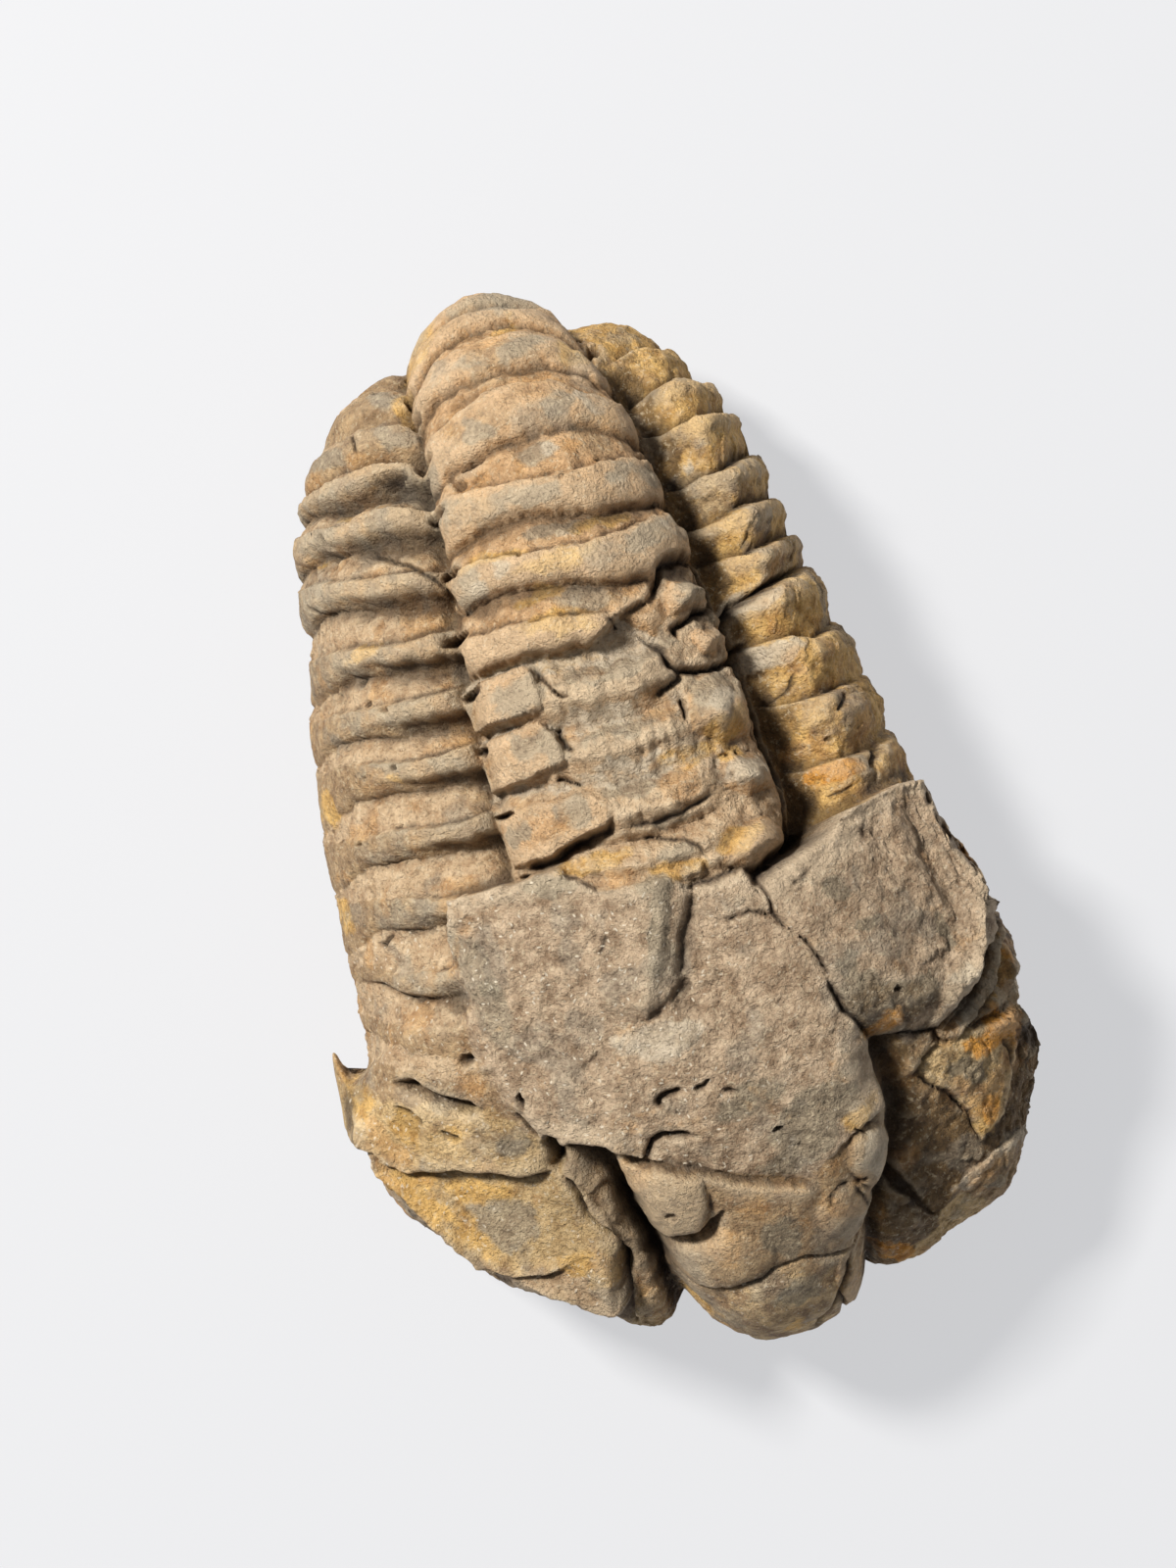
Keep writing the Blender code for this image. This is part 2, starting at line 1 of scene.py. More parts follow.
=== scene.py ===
# %% [markdown]
# # A trilobite in mudstone
# This lesson dresses one loose fossil: a trilobite that lies on its belly, 75 mm long, with its
# tail towards +Y and its head towards -Y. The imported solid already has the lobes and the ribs.
# Here the same stone is shaped again at the size of its grain, and given its stained surface.

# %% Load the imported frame
import math

import bpy
import numpy as np
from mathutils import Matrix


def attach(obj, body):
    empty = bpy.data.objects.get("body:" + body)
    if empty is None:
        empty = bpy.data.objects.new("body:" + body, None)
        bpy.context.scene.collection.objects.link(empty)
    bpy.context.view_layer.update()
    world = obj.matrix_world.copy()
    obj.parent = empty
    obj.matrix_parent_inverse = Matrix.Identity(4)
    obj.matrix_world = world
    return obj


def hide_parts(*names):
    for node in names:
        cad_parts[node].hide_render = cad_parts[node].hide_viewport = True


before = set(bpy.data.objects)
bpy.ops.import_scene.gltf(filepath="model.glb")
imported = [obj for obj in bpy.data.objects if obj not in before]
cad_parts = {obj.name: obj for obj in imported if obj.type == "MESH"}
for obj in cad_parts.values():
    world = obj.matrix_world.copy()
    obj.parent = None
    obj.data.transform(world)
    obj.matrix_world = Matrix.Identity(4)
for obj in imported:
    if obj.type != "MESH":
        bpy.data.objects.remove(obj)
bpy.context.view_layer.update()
STONE = "trilobite_fossil"
MM = 0.001

# %% [markdown]
# ## Camera
# A fossil on a table is looked at from straight above. The tail leans 16 degrees to the left of
# the frame's top, and the lens is long, so the high axis isn't drawn much larger than the rim.

# %% Camera
CAMERA_OVER = (-1.28, 2.81)     # mm, the place under the lens
CAMERA_HEIGHT = 332.0           # mm above the floor
LEAN = math.radians(16.0)

camera_data = bpy.data.cameras.new("camera")
camera_data.lens = 108.0
camera_data.sensor_width = 36.0
camera_data.clip_start = 0.01
camera = bpy.data.objects.new("camera", camera_data)
camera.location = (CAMERA_OVER[0] * MM, CAMERA_OVER[1] * MM, CAMERA_HEIGHT * MM)
camera.rotation_euler = (0.0, 0.0, -LEAN)
bpy.context.collection.objects.link(camera)
bpy.context.scene.camera = camera
print("camera at, mm:", [round(v / MM, 1) for v in camera.location])

# %% [markdown]
# ## Light and floor
# One lamp from the upper left, low enough to rake over the ribs, throws a shadow from every edge.
# A dim sky and a softly lit floor of white acrylic fill the shadows. The Standard view keeps the
# stone's colours as they are written.

# %% Light and floor
KEY_TURN = math.radians(-40.0)  # from +Y towards -X
KEY_RISE = math.radians(53.0)   # above the floor
KEY_DISTANCE = 0.65             # m
KEY_SIZE = 0.10                 # m, so shadows have a soft edge
KEY_POWER = 6.4                 # W
SKY_STRENGTH = 0.25
FLOOR_GLOW = 0.62


def srgb(code):
    """A hex colour as linear red, green, blue and 1."""
    values = [int(code[i:i + 2], 16) / 255.0 for i in (1, 3, 5)]
    return [v / 12.92 if v <= 0.04045 else ((v + 0.055) / 1.055) ** 2.4 for v in values] + [1.0]


key_data = bpy.data.lights.new("key", "AREA")
key_data.energy, key_data.size = KEY_POWER, KEY_SIZE
key_data.color = srgb("#FFFDF9")[:3]
key = bpy.data.objects.new("key", key_data)
flat_reach = KEY_DISTANCE * math.cos(KEY_RISE)
key.location = (flat_reach * math.sin(KEY_TURN), flat_reach * math.cos(KEY_TURN),
                KEY_DISTANCE * math.sin(KEY_RISE))
key.rotation_euler = (-key.location.normalized()).to_track_quat("-Z", "Y").to_euler()
bpy.context.collection.objects.link(key)

world = bpy.data.worlds.new("sky")
world.use_nodes = True
world.node_tree.nodes["Background"].inputs["Color"].default_value = srgb("#F2F4FA")
world.node_tree.nodes["Background"].inputs["Strength"].default_value = SKY_STRENGTH
bpy.context.scene.world = world
bpy.context.scene.view_settings.view_transform = "Standard"

bpy.ops.mesh.primitive_plane_add(size=3.0, location=(0.0, 0.0, 0.0))
floor = bpy.context.object
floor.name = "floor"
acrylic = bpy.data.materials.new("white_acrylic")
acrylic.use_nodes = True
sheet_shader = acrylic.node_tree.nodes["Principled BSDF"]
sheet_shader.inputs["Base Color"].default_value = srgb("#7A7A7B")
sheet_shader.inputs["Roughness"].default_value = 0.9
sheet_shader.inputs["Emission Color"].default_value = srgb("#F4F5F8")
sheet_shader.inputs["Emission Strength"].default_value = FLOOR_GLOW
floor.data.materials.append(acrylic)

# %% [markdown]
# ## Tools for carving
# The stone is one mesh whose points are moved by plain arithmetic on arrays, many times faster
# than moving them one by one. A few helpers say where a point lies: near a line, inside an
# outline, or on a swelling. Seeded noise gives the wandering edges of broken rock.

# %% Ramps, lines and outlines
def lookup(rows, value):
    """The second column of the rows, read at a value between those in the first."""
    return np.interp(value, *zip(*rows))


def most(*masks):
    """The strongest of the masks at each point."""
    return np.maximum.reduce(masks)


def ramp(low, high, value):
    """0 at low, 1 at high, smooth between them."""
    t = np.clip((value - low) / (high - low), 0.0, 1.0)
    return t * t * (3.0 - 2.0 * t)


def trace(x, y, points, closed=False):
    """Distance to a line, the side of it (+1 left, -1 right), and how far along it, 0 to 1."""
    ends = points[1:] + points[:1] if closed else points[1:]
    spans = [math.dist(a, b) for a, b in zip(points, ends)]
    total, gone = sum(spans), 0.0
    nearest = np.full(x.shape, 1.0e3)
    side, fraction = np.ones(x.shape), np.zeros(x.shape)
    for (x0, y0), (x1, y1), span in zip(points, ends, spans):
        run, rise = x1 - x0, y1 - y0
        part = np.clip(((x - x0) * run + (y - y0) * rise) / (span * span), 0.0, 1.0)
        off_x, off_y = x - x0 - part * run, y - y0 - part * rise
        gap = np.hypot(off_x, off_y)
        closer = gap < nearest
        nearest = np.where(closer, gap, nearest)
        side = np.where(closer, np.sign(run * off_y - rise * off_x), side)
        fraction = np.where(closer, (gone + part * span) / total, fraction)
        gone += span
    return nearest, side, fraction


def near(x, y, points, reach):
    """Indices of the places within reach of the points' box, so that the rest is left alone."""
    low, high = np.min(points, axis=0) - reach, np.max(points, axis=0) + reach
    return np.flatnonzero((x > low[0]) & (x < high[0]) & (y > low[1]) & (y < high[1]))


def inside(x, y, points, edge):
    """1 within the outline, 0 outside it, over an edge of that width."""
    result = np.zeros(x.shape)
    pick = near(x, y, points, edge)
    px, py = x[pick], y[pick]
    within = np.zeros(px.shape, dtype=bool)
    for (x0, y0), (x1, y1) in zip(points, points[1:] + points[:1]):
        if y0 != y1:
            within ^= ((y0 > py) != (y1 > py)) & (px < (x1 - x0) * (py - y0) / (y1 - y0) + x0)
    gap = trace(px, py, points, closed=True)[0]
    result[pick] = ramp(-edge, edge, np.where(within, gap, -gap))
    return result


def cut(x, y, points, width, blunt=0.15):
    """1 along a line and 0 beyond its width, thinning out at both ends."""
    result = np.zeros(x.shape)
    pick = near(x, y, points, 3.0 * width)
    gap, _, along = trace(x[pick], y[pick], points)
    ends = ramp(0.0, blunt, along) * ramp(1.0, 1.0 - blunt, along)
    result[pick] = np.exp(-(gap / (width * (0.35 + 0.65 * ends))) ** 2) * (0.25 + 0.75 * ends)
    return result


def scarp(x, y, points, edge, fade):
    """A step along a line: up on its left, down on its right, dying away over the fade."""
    result = np.zeros(x.shape)
    pick = near(x, y, points, 3.0 * fade)
    gap, side, along = trace(x[pick], y[pick], points)
    ends = ramp(0.0, 0.12, along) * ramp(1.0, 0.88, along)
    result[pick] = 0.5 * side * ramp(0.0, edge, gap) * np.exp(-gap / fade) * ends
    return result


def along_lines(x, y, steps, cuts):
    """Height of a set of steps (line, height, edge, fade) and cuts (line, depth, width, blunt)."""
    height = np.zeros(x.shape)
    for line, rise, edge, fade in steps:
        height += rise * scarp(x, y, line, edge, fade)
    for line, depth, width, blunt in cuts:
        height -= depth * cut(x, y, line, width, blunt)
    return height


def oval(x, y, spot):
    """Distance from an oval's middle: 1 on its rim. Oval: x, y, half width, half height, turn."""
    cx, cy, wide, high, turn = spot
    c, s = math.cos(math.radians(turn)), math.sin(math.radians(turn))
    return np.hypot(((x - cx) * c + (y - cy) * s) / wide, ((y - cy) * c - (x - cx) * s) / high)


def swelling(x, y, spot):
    """A round hump: 1 in the middle of the oval, 0 at its rim."""
    return np.sqrt(np.clip(1.0 - oval(x, y, spot) ** 2, 0.0, 1.0))


def spots(x, y, rows, edge=0.3):
    """1 in each oval, fading over its rim."""
    result = np.zeros(x.shape)
    for row in rows:
        pick = near(x, y, [row[:2]], 1.5 * max(row[2], row[3]))
        result[pick] = np.maximum(result[pick], ramp(1.0 + edge, 1.0 - edge, oval(x[pick], y[pick], row)))
    return result


def pyramid(x, y, shape, apex, height, top=0.85):
    """A broken block: facets that rise from the outline, cut off at that share of the height."""
    low, high = np.full(x.shape, height), height
    for (x0, y0), (x1, y1) in zip(shape, shape[1:] + shape[:1]):
        rise = (apex[1] - y0) * (x1 - x0) - (apex[0] - x0) * (y1 - y0)
        low = np.minimum(low, high * ((y - y0) * (x1 - x0) - (x - x0) * (y1 - y0)) / rise)
    return np.clip(low, 0.0, top * height)


# %% Seeded noise
LATTICE_SIDE = 32               # cells, a power of two, after which the noise repeats
LATTICE = np.random.default_rng(7).uniform(-1.0, 1.0, LATTICE_SIDE ** 3)
SCATTER = np.random.default_rng(11).uniform(-0.45, 0.45, (LATTICE_SIDE ** 3, 3))
TILT = np.random.default_rng(13).uniform(-1.0, 1.0, (LATTICE_SIDE ** 3, 3))


def lattice_key(cell):
    """Where each cell's own number is in the lattice."""
    a, b, c = (cell & (LATTICE_SIDE - 1)).T
    return (a * LATTICE_SIDE + b) * LATTICE_SIDE + c


def grain(points, size):
    """Smooth noise between -1 and 1, with lumps of about that size in mm."""
    scaled = points / size
    cell = np.floor(scaled).astype(np.int64)
    part = scaled - cell
    part = part * part * (3.0 - 2.0 * part)
    total = np.zeros(len(points))
    for corner in np.ndindex(2, 2, 2):
        weight = np.ones(len(points))
        for axis in range(3):
            weight *= part[:, axis] if corner[axis] else 1.0 - part[:, axis]
        total += weight * LATTICE[lattice_key(cell + corner)]
    return total


def flaky(points, size):
    """Broken rock, about -1 to 1: a mosaic of small planes, each with its own tilt and level."""
    scaled = points / size
    cell = np.floor(scaled).astype(np.int64)
    nearest, level = np.full(len(points), 9.0), np.zeros(len(points))
    for step in np.ndindex(3, 3, 3):
        here = cell + step - 1
        key = lattice_key(here)
        offset = here + 0.5 + SCATTER[key] - scaled
        gap = (offset * offset).sum(axis=1)
        closer = gap < nearest
        nearest = np.where(closer, gap, nearest)
        level = np.where(closer, (offset * TILT[key]).sum(axis=1) + 0.5 * LATTICE[key], level)
    return level


def wandered(values, points, wander, shifts):
    """The values moved by noise. Each row of wander is a reach and a lump size in mm."""
    for (reach, size), shift in zip(wander, shifts):
        values = values + reach * grain(points + shift, size)
    return values


print("noise lattice:", LATTICE.size)

# %% [markdown]
# ## The smooth loaf
# Under all its detail the stone is a loaf: a flat-topped dome over a belly that is cut flat where
# it rests. Two square grids, each bent into a disc, make the top and the belly. Their
# radius is stretched to the widest line of the stone in every direction.

# %% The loaf's sizes and widest line
RIM_HEIGHT = 9.0
MEAN_REACH = 26.0               # from the middle to the rim
CROWN = 15.0
DOME_POWER = 3.0
BELLY_DEPTH = 12.0
BELLY_POWER = 4.0
GRID = 520
RIM_SAMPLES = 1440              # in a whole turn
SOFT_SPAN = 40                  # samples to each side, 10 degrees
OUTLINE = [
    (0.0, 33.2), (5.8, 33.8), (9.0, 32.9), (11.6, 30.6), (13.6, 27.9), (15.1, 25.0), (16.0, 22.0),
    (16.5, 18.7), (17.2, 14.6), (18.0, 10.6), (18.8, 6.4), (19.5, 2.1), (20.1, -1.8), (20.7, -5.0),
    (21.9, -8.8), (22.3, -11.5), (23.6, -14.5), (23.4, -17.3), (22.6, -19.6), (23.3, -22.2),
    (22.5, -24.8), (21.2, -27.2), (20.1, -29.7), (18.3, -31.9), (14.8, -33.2), (11.0, -34.5),
    (8.2, -34.4), (4.5, -34.0), (0.0, -33.9), (-4.2, -33.2), (-7.0, -34.0), (-9.0, -33.2),
    (-10.6, -31.8), (-13.6, -30.0), (-17.0, -27.7), (-19.4, -24.7), (-21.8, -21.6),
    (-22.9, -18.5), (-23.5, -14.8), (-22.8, -12.8), (-21.0, -11.4), (-20.7, -8.0), (-20.5, -4.0),
    (-20.1, 0.0), (-20.0, 3.0), (-19.3, 7.0), (-18.7, 11.0), (-17.8, 14.5), (-17.2, 18.0),
    (-16.7, 22.3), (-15.8, 25.3), (-14.1, 28.3), (-12.3, 30.4), (-10.4, 32.2), (-7.8, 33.4),
    (-5.8, 33.7)]


def rounded(points, samples):
    """A closed curve through the points (Catmull-Rom)."""
    knots = np.array(points)
    t = np.linspace(0.0, 1.0, samples, endpoint=False)[:, None]
    before, after, beyond = np.roll(knots, 1, 0), np.roll(knots, -1, 0), np.roll(knots, -2, 0)
    spans = [0.5 * ((2 * b) + (c - a) * t + (2 * a - 5 * b + 4 * c - d) * t ** 2
                    + (3 * b - a - 3 * c + d) * t ** 3)
             for a, b, c, d in zip(before, knots, after, beyond)]
    return np.concatenate(spans)


def outline_radius(angle, out_to=0.0):
    """Distance from the middle to the widest line, with its notches only near the line itself."""
    ring = rounded(OUTLINE, 12)
    angles = np.arctan2(ring[:, 1], ring[:, 0])
    order = np.argsort(angles)
    turns = np.linspace(-math.pi, math.pi, RIM_SAMPLES, endpoint=False)
    sharp = np.interp(turns, angles[order], np.hypot(*ring[order].T), period=2.0 * math.pi)
    window = np.hanning(2 * SOFT_SPAN + 1)
    soft = np.convolve(np.pad(sharp, SOFT_SPAN, mode="wrap"), window / window.sum(), mode="valid")
    sharp, soft = (np.interp(angle, turns, table, period=2.0 * math.pi) for table in (sharp, soft))
    return soft + (sharp - soft) * ramp(0.8, 1.0, out_to)


# %% Two sheets that share their rim
def profile(depth, power):
    """Reach and height along a quarter of the loaf, at even steps of its surface."""
    reach = 1.0 - (1.0 - np.linspace(0.0, 1.0, 400)) ** 2
    height = (1.0 - reach ** power) ** 0.5
    steps = np.hypot(np.diff(reach) * MEAN_REACH, np.diff(height) * depth)
    length = np.concatenate([[0.0], np.cumsum(steps)])
    return length / length[-1], reach, height


def sheet(count):
    """A square grid laid on a disc without a crease: radius 0 to 1, and angle."""
    side = np.linspace(-1.0, 1.0, count)
    u, v = np.meshgrid(side, side, indexing="ij")
    across, up = u * np.sqrt(1.0 - v * v / 2.0), v * np.sqrt(1.0 - u * u / 2.0)
    return np.hypot(across, up).clip(0.0, 1.0).ravel(), np.arctan2(up, across).ravel()


def loaf(count):
    """Points of the top and of the belly, in mm."""
    radius, angle = sheet(count)
    halves = []
    for depth, power, sign in ((CROWN, DOME_POWER, 1.0), (BELLY_DEPTH, BELLY_POWER, -1.0)):
        length, reach, height = profile(depth, power)
        r = np.interp(radius, length, reach)
        reach_to = outline_radius(angle, r)
        z = RIM_HEIGHT + sign * depth * np.interp(radius, length, height)
        halves.append(np.column_stack([r * reach_to * np.cos(angle), r * reach_to * np.sin(angle),
                                       np.maximum(z, 0.0)]))
    return halves


def box_blur(field, reach):
    """The mean over a square of both grids, twice, for a soft blur."""
    for axis in (1, 2, 1, 2):
        margin = [(reach + 1, reach) if a == axis else (0, 0) for a in range(3)]
        total = np.cumsum(np.pad(field, margin, mode="edge"), axis=axis)
        high = np.take(total, np.arange(2 * reach + 1, total.shape[axis]), axis=axis)
        low = np.take(total, np.arange(0, total.shape[axis] - 2 * reach - 1), axis=axis)
        field = (high - low) / (2 * reach + 1)
    return field


print("grid points:", 2 * GRID * GRID)

# %% [markdown]
# ## The three lobes
# A trilobite is named for its three lobes. A raised axis runs from the head to the tail between
# two furrows, with a flank on each side. The axis is a parabola across at the tail and boxier at
# the head. The right furrow is the wider one, with dark hollows between the axis and the flank.

# %% Furrows and axis
AXIS_RISE = [(-37.0, 3.3), (-28.0, 3.6), (0.0, 4.0), (36.0, 4.0)]           # y, mm
AXIS_POWER = [(-30.0, 3.0), (-10.0, 2.6), (10.0, 2.3), (32.0, 2.0)]         # y, power
AXIS_EDGE_POWER = 0.85
FURROW_AT, FURROW_WIDTH = 1.03, 0.7         # half widths of the axis, mm
FURROW_DEPTH = [(22.0, 1.0), (31.0, 0.35)]                                  # y, mm
HOLLOW_BEYOND, HOLLOW_WIDTH = 1.1, 1.5      # mm
FURROW_Y = [-37.0, -34.0, -31.0, -28.0, -24.0, -20.0, -12.0, -2.0, 7.0, 15.0, 21.0, 27.0, 32.0, 38.0]
FURROW_LEFT = [-3.2, -4.2, -4.7, -5.1, -6.3, -7.2, -7.8, -7.8, -7.4, -7.0, -6.4, -6.0, -6.0, -4.6]
FURROW_RIGHT = [7.2, 7.8, 8.6, 10.6, 12.3, 12.4, 11.2, 11.3, 10.3, 9.6, 9.0, 8.2, 6.5, 4.4]
RIGHT_HOLLOW_DEPTH = [(-6.0, 0.0), (-3.5, 2.8), (3.0, 3.0), (8.0, 2.2), (16.0, 3.2), (27.0, 2.4),
                      (31.0, 0.6)]


def axis_place(x, y):
    """How far across the axis a point is: -1 and 1 in its furrows; and its half width."""
    left, right = (np.interp(y, FURROW_Y, side) for side in (FURROW_LEFT, FURROW_RIGHT))
    half = (right - left) / 2.0
    return (x - (left + right) / 2.0) / half, half


def axis_lobe(u, y, half, z):
    """Height of the middle lobe, with its furrows."""
    across = np.clip(1.0 - np.minimum(np.abs(u), 1.0) ** lookup(AXIS_POWER, y), 0.0, 1.0)
    lobe = lookup(AXIS_RISE, y) * across ** AXIS_EDGE_POWER
    furrow = np.exp(-((np.abs(u) - FURROW_AT) * half / FURROW_WIDTH) ** 2) * lookup(FURROW_DEPTH, y)
    beyond = (u - 1.0) * half - HOLLOW_BEYOND
    hollow = lookup(RIGHT_HOLLOW_DEPTH, y) * np.exp(-(beyond / HOLLOW_WIDTH) ** 2)
    return (lobe - furrow - hollow) * np.interp(z, [2.0, RIM_HEIGHT], [0.0, 1.0])


# %% [markdown]
# ## Ribs and rings
# Each segment is a raised tile with a low rough band behind it. Two kinds of line bound them: a
# deep groove on the head side of each tile, and a small ledge on its tail side. The lines are
# drawn in turn, groove, ledge, groove, from the tail to the head, and one profile fills them.

# %% Grooves and ledges of the left flank, tail to head
LEFT_LINES = [
    [(-14.0, 31.5), (-6.0, 33.5)],
    [(-14.0, 31.0), (-6.0, 32.6)],
    [(-14.0, 29.3), (-10.0, 30.3), (-6.0, 30.3)],
    [(-14.0, 28.9), (-10.0, 29.7), (-6.0, 29.6)],
    [(-14.0, 27.1), (-12.0, 27.5), (-9.0, 27.4), (-6.0, 27.0)],
    [(-15.0, 26.6), (-12.0, 27.05), (-9.0, 27.0), (-6.0, 26.6)],
    [(-16.2, 25.2), (-15.0, 25.8), (-13.3, 25.3), (-9.0, 25.2), (-6.0, 25.1)],
    [(-16.5, 24.4), (-13.5, 24.1), (-12.3, 23.7), (-11.0, 24.0), (-9.0, 24.0), (-7.5, 23.5),
     (-6.0, 23.3)],
    [(-16.9, 21.6), (-14.6, 22.7), (-12.5, 22.1), (-10.5, 21.6), (-7.0, 21.2)],
    [(-17.0, 20.9), (-15.2, 20.8), (-12.5, 20.0), (-10.0, 19.6), (-7.0, 19.1)],
    [(-17.4, 17.6), (-15.2, 18.7), (-12.0, 17.8), (-7.3, 16.9)],
    [(-17.5, 16.0), (-15.5, 15.9), (-13.5, 15.6), (-11.0, 15.2), (-9.0, 15.0), (-7.0, 15.2)],
    [(-18.0, 13.0), (-14.9, 14.1), (-12.5, 13.5), (-7.7, 12.5)],
    [(-18.0, 12.0), (-15.5, 11.9), (-13.0, 11.5), (-10.5, 11.2), (-7.0, 11.3)],
    [(-18.8, 9.0), (-16.7, 10.1), (-12.5, 9.3), (-8.0, 8.7)],
    [(-18.7, 8.4), (-16.5, 8.5), (-14.0, 8.1), (-12.5, 7.5), (-10.3, 7.2), (-8.5, 7.4), (-7.3, 7.5)],
    [(-19.2, 4.6), (-16.8, 6.0), (-12.5, 5.5), (-8.0, 4.8)],
    [(-19.2, 3.8), (-17.0, 3.6), (-14.0, 3.3), (-12.0, 3.0), (-10.0, 2.7), (-7.5, 2.8)],
    [(-19.8, 0.3), (-17.2, 1.6), (-12.5, 1.0), (-7.7, 0.4)],
    [(-20.0, -0.4), (-17.5, -0.6), (-15.0, -1.1), (-13.0, -1.7), (-11.0, -2.0), (-8.0, -2.3)],
    [(-20.3, -4.0), (-17.5, -2.7), (-15.3, -3.3), (-13.0, -3.7), (-8.0, -4.2)],
    [(-20.5, -4.6), (-18.0, -4.9), (-17.0, -5.8), (-15.0, -6.2), (-8.0, -6.8)],
    [(-20.8, -5.6), (-18.5, -6.2), (-17.0, -7.4), (-15.0, -7.9), (-8.0, -8.6)],
    [(-20.8, -7.8), (-17.0, -9.5), (-14.0, -10.2), (-8.0, -11.0)],
    [(-20.8, -8.8), (-17.5, -11.0), (-15.0, -12.0), (-8.0, -13.0)],
    [(-21.0, -10.8), (-17.0, -12.6), (-15.0, -13.8), (-8.0, -15.0)],
    [(-24.0, -12.0), (-18.8, -12.9), (-16.3, -14.8), (-14.0, -16.0), (-8.0, -17.5)]]
LEFT_DEPTH = [(-19.5, 0.15), (-17.5, 0.55), (-15.0, 1.2), (-12.5, 1.7), (-9.0, 2.4)]    # x, mm

# %% Grooves and ledges of the right flank
RIGHT_LINES = [
    [(6.0, 33.5), (14.0, 31.5)],
    [(6.5, 31.9), (9.0, 31.9), (13.0, 30.6)],
    [(7.0, 30.3), (8.5, 30.3), (10.5, 30.4), (13.0, 29.5)],
    [(7.5, 28.8), (10.0, 29.1), (13.0, 28.4)],
    [(7.8, 26.7), (8.8, 27.1), (10.2, 27.6), (12.0, 27.5), (13.6, 27.0), (14.6, 26.2)],
    [(8.3, 26.1), (10.0, 26.4), (12.0, 26.2), (14.6, 25.3)],
    [(8.5, 25.2), (10.0, 24.6), (11.5, 24.4), (13.5, 24.3), (15.0, 24.6)],
    [(9.0, 22.9), (11.5, 23.0), (13.0, 23.3), (15.5, 23.4)],
    [(9.5, 20.9), (11.0, 20.5), (13.0, 20.5), (14.5, 20.9), (15.5, 21.4)],
    [(9.6, 19.4), (12.0, 19.3), (14.0, 19.4), (16.0, 19.6)],
    [(9.5, 17.8), (12.0, 17.4), (14.0, 17.9), (16.2, 18.2)],
    [(9.8, 16.6), (13.0, 16.3), (16.6, 16.6)],
    [(10.0, 15.0), (13.0, 14.8), (17.0, 15.4)],
    [(10.0, 13.0), (13.0, 13.5), (17.2, 14.2)],
    [(9.8, 10.1), (11.0, 11.0), (12.0, 11.6), (13.5, 12.1), (17.2, 13.2)],
    [(9.9, 9.3), (11.2, 10.5), (13.0, 10.7), (15.0, 10.5), (17.8, 10.6)],
    [(10.0, 8.2), (12.5, 8.8), (14.3, 8.8), (16.5, 8.1), (18.2, 9.0)],
    [(10.4, 6.9), (13.0, 6.9), (15.0, 6.8), (16.0, 6.6), (18.6, 6.6)],
    [(10.5, 4.9), (14.0, 4.4), (16.5, 4.4), (18.8, 4.9)],
    [(10.8, 2.6), (12.0, 2.4), (15.0, 2.4), (19.4, 2.7)],
    [(11.0, 0.3), (13.0, 0.0), (17.8, 0.0), (19.6, 0.9)],
    [(11.0, -2.2), (12.5, -2.0), (14.5, -2.1), (17.0, -1.8), (20.0, -1.6)],
    [(11.0, -4.5), (14.0, -3.7), (17.5, -2.9), (20.5, -3.2)],
    [(11.0, -6.5), (20.6, -5.5)],
    [(11.0, -8.6), (22.0, -7.4)],
    [(11.0, -10.5), (22.0, -9.5)],
    [(11.0, -12.6), (22.0, -11.6)]]
RIGHT_DEPTH = [(9.0, 1.7), (13.0, 1.6), (16.0, 1.2), (18.5, 0.5), (20.0, 0.3)]

# %% Grooves and ledges of the axis
AXIS_LINES = [
    [(-5.2, 31.8), (-3.5, 33.2), (-1.0, 34.2), (1.5, 34.3), (3.5, 33.6), (5.5, 32.2)],
    [(-5.8, 30.2), (-4.2, 31.6), (-2.0, 32.6), (0.5, 33.1), (3.2, 32.4), (5.2, 31.4), (6.4, 30.0)],
    [(-5.8, 28.9), (-4.2, 29.9), (1.0, 30.6), (3.5, 30.3), (5.2, 29.4), (6.6, 28.0)],
    [(-5.8, 27.2), (-4.0, 28.0), (-2.5, 28.5), (-0.5, 29.1), (1.5, 29.2), (3.5, 28.9), (5.5, 27.6),
     (7.3, 26.2)],
    [(-5.6, 24.2), (-4.5, 24.9), (-2.0, 25.4), (0.0, 25.8), (3.0, 25.7), (5.0, 25.3), (8.0, 23.6)],
    [(-6.0, 23.3), (-3.0, 23.2), (0.0, 22.9), (1.5, 22.6), (3.0, 22.5), (5.0, 22.7), (6.3, 22.6),
     (8.8, 22.2)],
    [(-6.0, 19.9), (-3.5, 20.6), (-1.5, 20.7), (0.5, 20.6), (4.0, 19.7), (7.2, 19.3), (9.0, 19.2)],
    [(-7.0, 18.4), (-4.5, 18.6), (-2.0, 18.4), (0.0, 18.1), (3.0, 17.9), (5.0, 18.1), (7.3, 18.5),
     (9.4, 18.3)],
    [(-6.5, 16.0), (-3.5, 16.2), (-1.5, 16.1), (0.5, 15.7), (4.5, 14.7), (9.0, 14.4)],
    [(-8.0, 14.2), (-3.0, 14.0), (0.0, 13.7), (2.6, 13.1), (4.5, 12.6), (9.0, 12.0)],
    [(-8.0, 11.6), (-3.0, 11.9), (1.0, 11.4), (4.5, 10.9), (9.0, 10.4)]]
RING_DEPTH = 1.7
RUN_ON = [47.8, 46.4, 44.6, 43.2, 41.4, 40.0, 38.0, 36.2]                   # y, over the tail's end
BEND_START, BEND_TOP, BEND_RATE = 17.0, 17.0, 0.75                          # mm, mm, mm per mm

